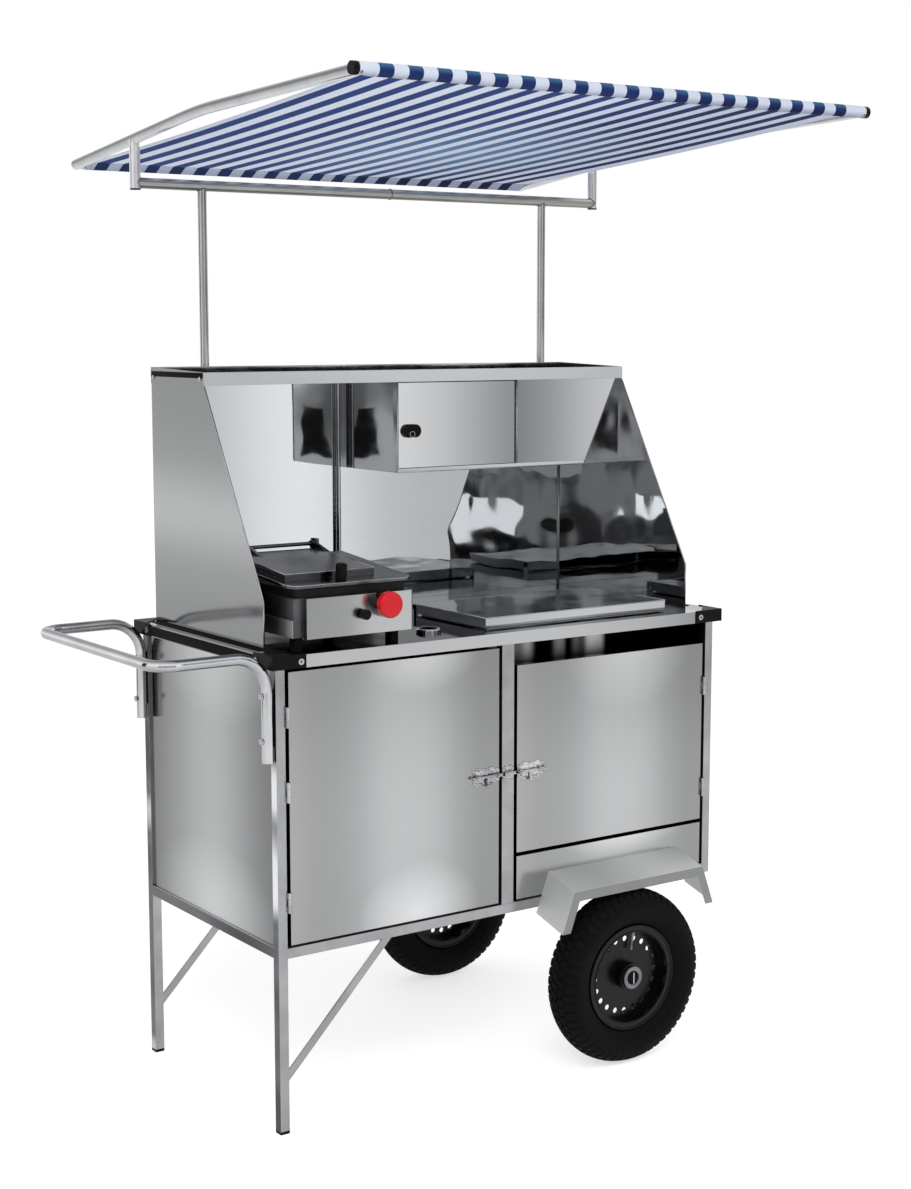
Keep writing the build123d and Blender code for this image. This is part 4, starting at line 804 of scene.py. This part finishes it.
def cap_skirts():
    """The end caps' skirts, pushed over the ends of the front tube."""
    low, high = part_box("canopy_tubes")
    shapes = []
    for x, inward in ((low.x, 1), (high.x, -1)):
        foot = at(0, *FRONT_TUBE)
        foot.x = x
        shapes.append(turned(CAP_SKIRT, foot, (inward, 0, 0), closed=True))
    new_piece("end_cap_skirts", joined(shapes), "chassis", "black_plastic")


cloth_rivets()
cap_skirts()

# Tyres with a block tread

RIM_SEAT = 102.0
BEAD_RADIUS = 114.0
BEAD_HALF = 24.6
SHOULDER_DROP = 11.0
SHOULDER_HALF = 34.0
SIDE_RINGS = ((0.32, 0.4), (0.6, 0.66))
RING_PROUD = 0.8
SEAT_ROWS, WALL_ROWS, CROWN_ROWS = 5, 19, 25
BLOCK_PITCHES = 56
STEPS_PER_BLOCK = 12
# Shares of the tread's half width and of a block's pitch.
LANE_EDGES = (0.24, 0.66)
LANE_GROOVE_HALF = 0.045
BLOCK_GROOVE = 0.26
LANE_SHIFT, SIDE_SHIFT = 0.5, 0.22
SHOULDER_ROWS = 4
GROOVE_DEPTH = 3.2


def tyre(node, body):
    """A swelled sidewall with two rings, and three lanes of blocks set off from each other."""
    low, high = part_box(node)
    centre = (low + high) / 2
    radius = (high.z - low.z) / 2 / MM
    half_width = (high.y - low.y) / 2 / MM
    shoulder = radius - SHOULDER_DROP
    widest = (BEAD_RADIUS + shoulder) / 2
    swell_height = half_width - (BEAD_HALF + SHOULDER_HALF) / 2 - RING_PROUD
    profile = [(RIM_SEAT + (BEAD_RADIUS - RIM_SEAT) * t, BEAD_HALF) for t in np.linspace(0, 1, SEAT_ROWS)]
    for t in np.linspace(0, 1, WALL_ROWS)[1:]:
        r = BEAD_RADIUS + (shoulder - BEAD_RADIUS) * t
        swell = 1 - ((r - widest) / (shoulder - widest)) ** 2
        chord = BEAD_HALF + (SHOULDER_HALF - BEAD_HALF) * t
        ring = RING_PROUD if any(start < t < end for start, end in SIDE_RINGS) else 0.0
        profile.append((r, chord + swell_height * swell + ring))
    edge = len(profile)
    for t in np.linspace(0, 1, CROWN_ROWS)[1:]:
        y = SHOULDER_HALF * (1 - t)
        profile.append((radius - SHOULDER_DROP * (y / SHOULDER_HALF) ** 2, y))
    profile += [(r, -y) for r, y in profile[-2::-1]]
    count = len(profile)
    turns = BLOCK_PITCHES * STEPS_PER_BLOCK
    points = []
    for k in range(turns):
        a = 2 * math.pi * k / turns
        for index, (r, y) in enumerate(profile):
            across = abs(y) / SHOULDER_HALF
            lane = sum(across >= lane_edge for lane_edge in LANE_EDGES)
            shift = LANE_SHIFT * (lane % 2) + (SIDE_SHIFT if y > 0 else 0.0)
            phase = (k / turns * BLOCK_PITCHES + shift) % 1.0
            on_tread = edge - SHOULDER_ROWS <= index < count - edge + SHOULDER_ROWS
            lengthwise = min(abs(across - lane_edge) for lane_edge in LANE_EDGES) < LANE_GROOVE_HALF
            if on_tread and (lengthwise or phase < BLOCK_GROOVE):
                r -= GROOVE_DEPTH
            points.append(centre + Vector((r * math.cos(a), y, r * math.sin(a))) * MM)
    shape = points, rings_of(points, count, True, True)
    piece = new_piece(node + "_tread", shape, body, "rubber", smooth=False)
    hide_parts(node)


tyre("front_tyre", "front_wheel")
tyre("rear_tyre", "rear_wheel")

# Wheel fittings: rolled rim lips, a tyre valve and a dust cap with its split pin

FLANGE_OUT = 28.0
LIP_RADIUS, LIP_WIRE = 111.5, 2.6
WELL_RADIUS, WELL_WIRE = 99.0, 1.8
LIP_STEPS = 12
VALVE_OUT = 13.0
VALVE_ANGLE = math.radians(81)
VALVE_ROOT = 98.0
VALVE_PROFILE = [
    (5.0, 0.0), (5.0, 3.0), (3.6, 12.0), (2.6, 14.0), (2.6, 32.0), (3.4, 32.5), (3.4, 41.0), (2.4, 42.5),
    (0.0, 42.5),
]
NUT_OUT = 32.5
DUST_CAP_PROFILE = [(15.0, 0.0), (15.0, 0.8), (14.2, 1.4), (0.0, 1.6)]
PIN_HALF_WIDTH, PIN_HALF_LENGTH, PIN_OUT, PIN_ROUNDING = 1.7, 12.5, 3.2, 1.0


def wheel_fittings(side, outboard):
    """What stands out of one wheel; the dust cap and its pin stay still on the axle."""
    tyre_low, tyre_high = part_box(side + "_tyre")
    centre = (tyre_low + tyre_high) / 2
    wheel = side + "_wheel"
    out = Vector((0, outboard, 0))
    lips = []
    for radius, wire_radius in ((LIP_RADIUS, LIP_WIRE), (WELL_RADIUS, WELL_WIRE)):
        ring = [(radius + c, s) for c, s in circle(wire_radius, LIP_STEPS)]
        for direction in (out, -out):
            lips.append(turned(ring, centre + direction * FLANGE_OUT * MM, direction, steps=96, closed=True))
    new_piece(side + "_rim_lips", joined(lips), wheel, "rim_paint")
    spoke = Vector((math.cos(VALVE_ANGLE), 0, math.sin(VALVE_ANGLE)))
    root = centre + out * VALVE_OUT * MM + spoke * VALVE_ROOT * MM
    new_piece(side + "_valve", turned(VALVE_PROFILE, root, -spoke, steps=20), wheel, "zinc")
    face = centre + out * NUT_OUT * MM
    new_piece(side + "_dust_cap", turned(DUST_CAP_PROFILE, face, out), "chassis", "rubber")
    near, far = sorted((face.y, (face + out * PIN_OUT * MM).y))
    low = Vector((face.x - PIN_HALF_WIDTH * MM, near, face.z - PIN_HALF_LENGTH * MM))
    high = Vector((face.x + PIN_HALF_WIDTH * MM, far, face.z + PIN_HALF_LENGTH * MM))
    new_piece(side + "_split_pin", bar(low, high, PIN_ROUNDING), "chassis", "hardware")


wheel_fittings("front", -1)
wheel_fittings("rear", 1)

# Cabinet and hood trim

GAP_STRIP = 1.0
GAP_STRIP_ROUNDING = 0.3
SILL_STRIP = 4.2
FOOT_STRIP, FOOT_ROUNDING = 0.4, 0.1
RAIL_TOP = 371.0
POST_LEFT, POST_RIGHT = 529.0, 559.0
TUBE = 20.0
FLOOR_TOP = 372.0
DOOR_HEAD = 917.0
CABINET_WIDTH = 1100.0


def door_gap_strips():
    """Black strips on the frame in the gaps round the doors, and along the fixed panel's foot: painted shade
    in the gaps.
    """
    shapes = []
    for left in (TUBE, POST_LEFT - GAP_STRIP, POST_RIGHT, CABINET_WIDTH - TUBE - GAP_STRIP):
        low, high = at(left, GAP_STRIP, FLOOR_TOP), at(left + GAP_STRIP, TUBE - GAP_STRIP, DOOR_HEAD)
        shapes.append(bar(low, high, GAP_STRIP_ROUNDING))
    low = at(TUBE + GAP_STRIP, FOOT_STRIP, RAIL_TOP)
    high = at(POST_LEFT - GAP_STRIP, TUBE, RAIL_TOP + SILL_STRIP)
    shapes.append(bar(low, high, GAP_STRIP_ROUNDING))
    low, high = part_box("lower_front_panel")
    foot = Vector((high.x, low.y, low.z + SILL_STRIP * MM))
    shapes.append(bar(low - Vector((0, FOOT_STRIP * MM, 0)), foot, FOOT_ROUNDING))
    new_piece("door_gap_strips", joined(shapes), "chassis", "rubber")


WORKTOP_TOP, HOOD_TOP = 942.0, 1440.0
HOOD_SHEETS = (17.5, 1082.5)
HOOD_FRONT, HOOD_SLOPE_FOOT, HOOD_TOP_FRONT, HOOD_BACK = 72.0, 1037.0, 300.0, 530.0
TRIM_GAP = 1.0
# The front edge in depth and height: up the short front, round its bend and up the slope.
HOOD_EDGE = [
    (HOOD_FRONT, WORKTOP_TOP + TRIM_GAP), (HOOD_FRONT, HOOD_SLOPE_FOOT - 6),
    (HOOD_FRONT + 1, HOOD_SLOPE_FOOT), (HOOD_FRONT + 5, HOOD_SLOPE_FOOT + 8),
    (HOOD_TOP_FRONT - 1, HOOD_TOP - 2),
]
HEM_RADIUS = 1.7
SEAM_RADIUS = 2.2
CUPBOARD_LEFT, CUPBOARD_RIGHT, CUPBOARD_FRONT = 480.0, 1081.0, 310.0
CUPBOARD_FOOT = 1248.0
# Each corner seam has its place, the way in from it and its head.
HOOD_CORNERS = ((18.0, 1.0, HOOD_TOP), (1082.0, -1.0, CUPBOARD_FOOT))


def hood_trim():
    """Rolled hems on the hood's front edges, and sealed corner seams inside it."""
    hems = [bent_wire([at(x, y, z) for y, z in HOOD_EDGE], HEM_RADIUS) for x in HOOD_SHEETS]
    new_piece("hood_hems", joined(hems), "chassis", "hardware")
    seams = []
    for x, inward, head in HOOD_CORNERS:
        place = x + inward * SEAM_RADIUS / 2, HOOD_BACK - SEAM_RADIUS / 2
        heights = WORKTOP_TOP + TRIM_GAP, head - TRIM_GAP
        seams.append(bent_wire([at(*place, height) for height in heights], SEAM_RADIUS))
    new_piece("hood_corner_seams", joined(seams), "chassis", "dull_nickel")


EDGE_STRIP = 1.2
TRAY_STRIP = 0.72
HOOD_FOOT_STRIP = 12.0
HOOD_SHEET_HALF = 0.5
CAP_LEG_END = 59.0
WORKTOP_LEFT, WORKTOP_RIGHT, WORKTOP_DEPTH = -12.0, 1112.0, 560.0
STRIP_FOOT, STRIP_HEAD = 919.0, 938.5
TRAY_LEFT, TRAY_RIGHT, TRAY_FRONT, TRAY_BACK = 16.0, 1084.0, 302.0, 528.0
TRAY_STRIP_FOOT, TRAY_STRIP_HEAD = 1454.0, 1465.0
# Each pair of strips: the left and right face, how far it stands out, its near foot, its far head and
# its rounding.
STRIP_PAIRS = [
    (WORKTOP_LEFT, WORKTOP_RIGHT, EDGE_STRIP,
     (CAP_LEG_END, STRIP_FOOT), (WORKTOP_DEPTH - CAP_LEG_END, STRIP_HEAD), 0.4),
    (TRAY_LEFT, TRAY_RIGHT, TRAY_STRIP, (TRAY_FRONT, TRAY_STRIP_FOOT), (TRAY_BACK, TRAY_STRIP_HEAD), 0.3),
    (HOOD_SHEETS[0] - HOOD_SHEET_HALF, HOOD_SHEETS[1] + HOOD_SHEET_HALF, HOOD_FOOT_STRIP,
     (HOOD_FRONT, WORKTOP_TOP), (HOOD_BACK, WORKTOP_TOP + EDGE_STRIP), 0.4),
]


def edge_strips():
    """Black strips on the ends of the worktop and the tray, and along the hood's feet."""
    shapes = []
    for left, right, out, near_foot, far_head, rounding in STRIP_PAIRS:
        for start, end in ((left - out, left), (right, right + out)):
            shapes.append(bar(at(start, *near_foot), at(end, *far_head), rounding))
    new_piece("edge_strips", joined(shapes), "chassis", "rubber")


CUPBOARD_HIGHLIGHT_WIRE, HIGHLIGHT_SIDE, HIGHLIGHT_LIFT = 1.4, 0.2, 0.6
CUPBOARD_HINGE = (791.5, 307.5)
HINGE_ROD, ROD_ABOVE_FOOT, ROD_BELOW_HEAD = 2.6, 11.0, 3.0


def cupboard_trim():
    """A bright wire on the cupboard's front edge as a painted highlight, and the long hinge between its door
    and its fixed panel.
    """
    x, y, z = CUPBOARD_LEFT - HIGHLIGHT_SIDE, CUPBOARD_FRONT, CUPBOARD_FOOT + HIGHLIGHT_LIFT
    # Down the left edge, round a small corner and along the foot.
    edge = [
        at(x, y, HOOD_TOP), at(x, y, z + 3), at(x + 1, y, z + 1), at(x + 3, y, z), at(CUPBOARD_RIGHT, y, z),
    ]
    # Painted highlight: a bright wire down the left front edge and along the foot.
    new_piece("cupboard_edge_highlight", bent_wire(edge, CUPBOARD_HIGHLIGHT_WIRE), "chassis", "dull_nickel")
    heights = CUPBOARD_FOOT + ROD_ABOVE_FOOT, HOOD_TOP - ROD_BELOW_HEAD
    rod = bent_wire([at(*CUPBOARD_HINGE, height) for height in heights], HINGE_ROD)
    new_piece("cupboard_hinge_rod", rod, "chassis", "dull_nickel")


PRESS_HINGE_Y, PRESS_HINGE_Z = 300.0, 1112.5
PRESS_LID_TILT = math.radians(5.5)
LID_LEFT, LID_RIGHT, LID_FRONT, LID_BACK = 43.0, 323.0, 12.0, 284.0
LID_TOP, SLAB_TOP = 1096.0, 1108.0
LID_CORNER, CORNER_STEPS = 24.0, 9
LID_HIGHLIGHT_WIRE, HIGHLIGHT_SUNK, HIGHLIGHT_FORWARD = 0.9, 0.3, 1.0


def on_lid(x, y, z):
    """A place on the press's lid, drawn level and then tilted about the lid's hinge."""
    behind, above = y - PRESS_HINGE_Y, z - PRESS_HINGE_Z
    c, d = math.cos(PRESS_LID_TILT), math.sin(PRESS_LID_TILT)
    return at(x, PRESS_HINGE_Y + behind * c - above * d, PRESS_HINGE_Z + behind * d + above * c)


def lid_edge_highlights():
    """Bright wires on the edges of the press's lid plate and of the slab on it: painted highlights."""
    rim = [(LID_LEFT, LID_BACK)]
    for x, start in ((LID_LEFT + LID_CORNER, math.pi), (LID_RIGHT - LID_CORNER, 1.5 * math.pi)):
        for a in np.linspace(start, start + math.pi / 2, CORNER_STEPS):
            rim.append((x + LID_CORNER * math.cos(a), LID_FRONT + LID_CORNER + LID_CORNER * math.sin(a)))
    rim.append((LID_RIGHT, LID_BACK))
    slab = [
        (SLAB_LEFT, SLAB_BACK), (SLAB_LEFT, SLAB_FRONT - HIGHLIGHT_FORWARD),
        (SLAB_RIGHT, SLAB_FRONT - HIGHLIGHT_FORWARD), (SLAB_RIGHT, SLAB_BACK),
    ]
    shapes = [bent_wire([on_lid(x, y, LID_TOP - HIGHLIGHT_SUNK) for x, y in rim], LID_HIGHLIGHT_WIRE)]
    for ends in zip(slab, slab[1:]):
        shapes.append(bent_wire([on_lid(*end, SLAB_TOP - HIGHLIGHT_SUNK) for end in ends], LID_HIGHLIGHT_WIRE))
    new_piece("press_lid_edge_highlights", joined(shapes), "press_lid", "hardware")


BASIN_LID_EDGE, EDGE_SUNK = 1.0, 0.5


def basin_lid_edges():
    """Bright wires round the top edges of the basin's lid."""
    low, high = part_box("basin_lid")
    corners = ((low.x, low.y), (high.x, low.y), (high.x, high.y), (low.x, high.y))
    rim = [Vector((x, y, high.z - EDGE_SUNK * MM)) for x, y in corners]
    shapes = [bent_wire(ends, BASIN_LID_EDGE) for ends in zip(rim, rim[1:] + rim[:1])]
    new_piece("basin_lid_edges", joined(shapes), "basin_lid", "dull_nickel")


door_gap_strips()
hood_trim()
edge_strips()
cupboard_trim()
lid_edge_highlights()
basin_lid_edges()

# Scalloped plates under the door bolts

BOLT_Z = 648.0
PLATE_STEPS = 120
# Each row is a distance in from the edge and a height above the door: a raised rim round a lower middle.
PLATE_ROWS = [(0.0, 0.0), (0.0, 1.2), (1.2, 1.7), (2.8, 1.7), (4.2, 0.8), (1000.0, 0.8)]
PLATE_RIPPLE = 0.09
PLATE_LOBES = 10
# Powers under 1 square up the plate's outline, lengthwise and upright.
SQUARE_LENGTH, SQUARE_HEIGHT = 0.5, 0.6
SCREW_DOME = dome(radius=2.4, height=1.2, steps=5)
SCREW_FROM_END, SCREW_FROM_SIDE = 8.0, 7.0


def scalloped_plate(middle_x, half_length, half_height):
    """A pressed plate with a scalloped edge, and a screw in each corner."""
    points = []
    for inset, out in PLATE_ROWS:
        for k in range(PLATE_STEPS):
            a = 2 * math.pi * k / PLATE_STEPS
            ripple = 1 + PLATE_RIPPLE * math.cos(PLATE_LOBES * a)
            c, d = math.cos(a), math.sin(a)
            x = math.copysign(abs(c) ** SQUARE_LENGTH, c) * max(half_length * ripple - inset, 0.0)
            z = math.copysign(abs(d) ** SQUARE_HEIGHT, d) * max(half_height * ripple - inset, 0.0)
            points.append(at(middle_x + x, -out, BOLT_Z + z))
    shapes = [(points, rings_of(points, PLATE_STEPS, False, True))]
    face = -PLATE_ROWS[-1][1]
    for side in (-1, 1):
        for above in (-1, 1):
            x = middle_x + side * (half_length - SCREW_FROM_END)
            foot = at(x, face, BOLT_Z + above * (half_height - SCREW_FROM_SIDE))
            shapes.append(turned(SCREW_DOME, foot, (0, -1, 0), steps=14))
    return joined(shapes)


BOLT_PLATES = {
    "left_bolt_plate": (485.5, 33.0, 18.0, "left_door"),
    "right_bolt_plate": (602.5, 33.0, 18.0, "right_door"),
    "keeper_plate": (544.0, 14.0, 16.0, "chassis"),
}
for name, (*place, body) in BOLT_PLATES.items():
    new_piece(name, scalloped_plate(*place), body, "chrome")

# Welds on the canopy's frame

POLES_X = (148.0, 1036.0)
POLE_RADIUS = 9.5
BAR_RADIUS = 11.0
BAR_Y, BAR_Z = 543.3, 1846.0
BAR_JOINT_X = 614.0
WELD_RADIUS = 1.5
WELD_STEPS = 32


def canopy_welds():
    """Weld beads where the crossbar sits on the poles, meets the arms' stubs and is joined in its middle."""
    round_bar = circle(BAR_RADIUS, WELD_STEPS)
    seams = []
    for x in POLES_X:
        seams.append([
            (x + dx, dy, -math.sqrt(BAR_RADIUS ** 2 - dy ** 2)) for dx, dy in circle(POLE_RADIUS, WELD_STEPS)
        ])
    for x, inward in ((ARM_LEFT, 1), (ARM_RIGHT, -1)):
        seams.append([(x + inward * math.sqrt(BAR_RADIUS ** 2 - dy ** 2), dy, dz) for dy, dz in round_bar])
    seams.append([(BAR_JOINT_X, dy, dz) for dy, dz in round_bar])
    beads = []
    for seam in seams:
        path = [at(x, BAR_Y + dy, BAR_Z + dz) for x, dy, dz in seam]
        beads.append(bent_wire(path, WELD_RADIUS, closed=True, steps=8))
    new_piece("canopy_welds", joined(beads), "chassis", "zinc")


canopy_welds()

# Screw recesses and the lock's keyhole ring

CAP_SCREW_IN = 60.0
CAP_SCREW_Z = 929.5
CROSS_HALF, CROSS_WIDTH, CROSS_PROUD, CROSS_ROUNDING = 3.2, 0.7, 0.25, 0.15
FRONT_AND_BACK, LEFT_AND_RIGHT = 1, 0


def screw_crosses():
    """The cross recess in each screw head on the worktop's corner caps, drawn as a thin black cross: painted
    shade.
    """
    screws_low, screws_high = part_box("sheet_screws")
    top_low, top_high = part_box("worktop")
    deep = CROSS_PROUD * MM
    shapes = []
    for across, along in ((FRONT_AND_BACK, LEFT_AND_RIGHT), (LEFT_AND_RIGHT, FRONT_AND_BACK)):
        for face, direction in ((screws_low[across], -1), (screws_high[across], 1)):
            for place in (top_low[along] + CAP_SCREW_IN * MM, top_high[along] - CAP_SCREW_IN * MM):
                for half_along, half_up in ((CROSS_HALF, CROSS_WIDTH), (CROSS_WIDTH, CROSS_HALF)):
                    reach = Vector((0, 0, half_up * MM))
                    reach[across], reach[along] = deep, half_along * MM
                    middle = Vector((0, 0, CAP_SCREW_Z * MM))
                    middle[across], middle[along] = face + direction * deep / 2, place
                    shapes.append(bar(middle - reach, middle + reach, CROSS_ROUNDING))
    new_piece("screw_crosses", joined(shapes), "chassis", "rubber")


KEY_RING_PROFILE = [(5.6, 0.0), (6.8, 0.2), (7.2, 0.9), (6.6, 1.4), (5.6, 1.2)]


def lock_ring():
    """A bright ring round the key slot of the cupboard's turn handle."""
    low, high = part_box("cupboard_lock")
    middle = (low + high) / 2
    ring = turned(KEY_RING_PROFILE, Vector((middle.x, low.y, middle.z)), (0, -1, 0))
    new_piece("lock_key_ring", ring, "cupboard_lock", "hardware")


screw_crosses()
lock_ring()

# Floor, light and camera

FLOOR_REACH = 60.0


def stage_sheet(name, corners, material):
    """One flat four-cornered sheet of the studio, which isn't part of the object."""
    mesh = bpy.data.meshes.new(name)
    mesh.from_pydata([tuple(c) for c in corners], [], [(0, 1, 2, 3)])
    sheet = bpy.data.objects.new(name, mesh)
    scene.collection.objects.link(sheet)
    sheet.data.materials.append(material)
    return sheet


def seen_rays(tree):
    """1 for a ray that shows a surface: straight to the camera, in metal or through glass."""
    rays = add(tree, "LightPath", out=None)
    seen = rays["Is Camera Ray"]
    for kind in ("Is Glossy Ray", "Is Transmission Ray"):
        seen = add(tree, "Math", {0: seen, 1: rays[kind]}, operation="MAXIMUM")
    return seen


def floor():
    """White paper: it keeps the cart's soft shadow and is white elsewhere."""
    material, tree, shader, coords = new_material("white_paper")
    fibres = add(tree, "TexNoise", {"Vector": coords["Object"], "Scale": per_metre(900), "Detail": 2.0})
    paper = add(tree, "ValToRGB", {"Fac": fibres}, stops=[(0.3, "#d4d4d4"), (0.7, "#d9d9d9")])
    straight = add(tree, "LightPath", out="Is Camera Ray")
    lift = add(tree, "MapRange", {"Value": straight, "To Min": 0.48, "To Max": 0.62})
    shown = add(tree, "Math", {0: seen_rays(tree), 1: lift}, operation="MULTIPLY")
    wire(tree, shader, {
        "Base Color": paper, "Roughness": 1.0, "Specular IOR Level": 0.0,
        "Emission Color": (1, 1, 1, 1), "Emission Strength": shown,
    })
    r = FLOOR_REACH
    stage_sheet("floor", [(-r, -r, 0), (r, -r, 0), (r, r, 0), (-r, r, 0)], material)


def reflector(name, start, end, feet, head, dark, light, patch_mm, strength=1.0):
    """A mottled studio drape or a lit window that only the shiny surfaces see.

    It hangs upright between two places on the floor plan, and feet gives its lower height at each.
    """
    material, tree, shader, coords = new_material(name)
    folds = add(tree, "TexNoise", {"Vector": coords["Object"], "Scale": per_metre(patch_mm), "Detail": 1.5})
    cloth = add(tree, "ValToRGB", {"Fac": folds}, stops=[(0.42, dark), (0.58, light)])
    wire(tree, shader, {
        "Base Color": (0, 0, 0, 1), "Roughness": 1.0, "Specular IOR Level": 0.0,
        "Emission Color": cloth, "Emission Strength": strength,
    })
    corners = [at(*start, feet[0]), at(*end, feet[1]), at(*end, head), at(*start, head)]
    drape = stage_sheet(name, corners, material)
    drape.visible_camera = False
    drape.visible_diffuse = False
    drape.visible_shadow = False
    drape.visible_transmission = False


def white_world():
    """White where it is seen, directly or in metal, and lower where it lights the cart."""
    world = bpy.data.worlds.new("white_studio")
    scene.world = world
    world.use_nodes = True
    tree = world.node_tree
    level = add(tree, "MapRange", {"Value": seen_rays(tree), "To Min": 0.62, "To Max": 1.0})
    wire(tree, tree.nodes["Background"], {"Color": (1, 1, 1, 1), "Strength": level})


def softbox(name, place, target, size, power):
    """A square lamp that lights the cart and isn't seen in its metal."""
    light = bpy.data.lights.new(name, "AREA")
    light.size = size
    light.energy = power
    lamp = bpy.data.objects.new(name, light)
    lamp.location = place
    lamp.rotation_euler = (target - place).to_track_quat("-Z", "Y").to_euler()
    lamp.visible_glossy = False
    scene.collection.objects.link(lamp)


LENS, SENSOR_WIDTH, FAR_END = 59.70, 36.0, 200.0
CAMERA_PLACE = (-1809.8, -3187.7, 1553.6)
CAMERA_TURN, CAMERA_TILT = math.radians(-34.885), math.radians(7.710)


def camera():
    """The photo's viewpoint, fitted to the straight edges of the cabinet, the hood and the canopy."""
    lens = bpy.data.cameras.new("camera")
    lens.sensor_width = SENSOR_WIDTH
    lens.lens = LENS
    lens.clip_end = FAR_END
    eye = bpy.data.objects.new("camera", lens)
    level = math.cos(CAMERA_TILT)
    backward = Vector((
        math.sin(CAMERA_TURN) * level, -math.cos(CAMERA_TURN) * level, math.sin(CAMERA_TILT),
    ))
    right = Vector((0, 0, 1)).cross(backward).normalized()
    axes = Matrix((right, backward.cross(right), backward)).transposed().to_4x4()
    eye.matrix_world = Matrix.Translation(at(*CAMERA_PLACE)) @ axes
    scene.collection.objects.link(eye)
    scene.camera = eye


CART_MIDDLE = at(550, 280, 900)
LEFT_DRAPE = Vector((-5200, -2300)), Vector((-300, -5700))
LAYER_GAP = Vector((17, 25))
# Cloths and windows on the left drape: where each starts and ends as shares of the drape's length, its layer,
# its foot and head, its dark and light, the size of its patches and its strength.
LEFT_CLOTHS = {
    "left_low_drape": (0.0, 1.0, 0, 20, 430, "#2a2a2a", "#686868", 300),
    "left_drape": (0.0, 1.0, 0, 430, 1250, "#585858", "#b4b4b4", 270),
    "left_upper_drape": (0.0, 1.0, 0, 1250, 2900, "#707070", "#ececec", 500),
    "left_light_drape": (0.515, 0.62, 1, 800, 1250, "#7c7c7c", "#d4d4d4", 500),
    "left_window": (0.588, 0.632, 1, 455, 625, "#f0f0f0", "#ffffff", 700, 3.0),
    "right_window": (0.447, 0.482, 1, 540, 645, "#f0f0f0", "#ffffff", 700, 3.0),
    "left_dark_cloth": (0.577, 0.599, 2, 905, 1170, "#121212", "#1c1c1c", 700),
    "right_dark_cloth": (0.534, 0.556, 2, 905, 1170, "#121212", "#1c1c1c", 700),
}

scene.view_settings.view_transform = "Standard"
floor()
white_world()
softbox("key_softbox", at(-1700, -2600, 3300), CART_MIDDLE, size=2.2, power=85.0)
softbox("fill_softbox", at(3200, -2300, 2300), CART_MIDDLE, size=2.0, power=35.0)
for name, (first, last, layer, foot, head, *cloth) in LEFT_CLOTHS.items():
    start, end = [LEFT_DRAPE[0].lerp(LEFT_DRAPE[1], share) + LAYER_GAP * layer for share in (first, last)]
    reflector(name, start, end, (foot, foot), head, *cloth)
reflector("high_drape", (1646, -5110), (5254, -2690), (1450, 1560), 4200, "#4a4a4a", "#d0d0d0", 600)
reflector("left_flag", (-3786, 1691), (-3034, 3099), (0, 0), 3200, "#2a2a2a", "#3c3c3c", 900)
reflector("right_flag", (4134, -2539), (4886, -1131), (0, 0), 3200, "#2a2a2a", "#3c3c3c", 900)
camera()
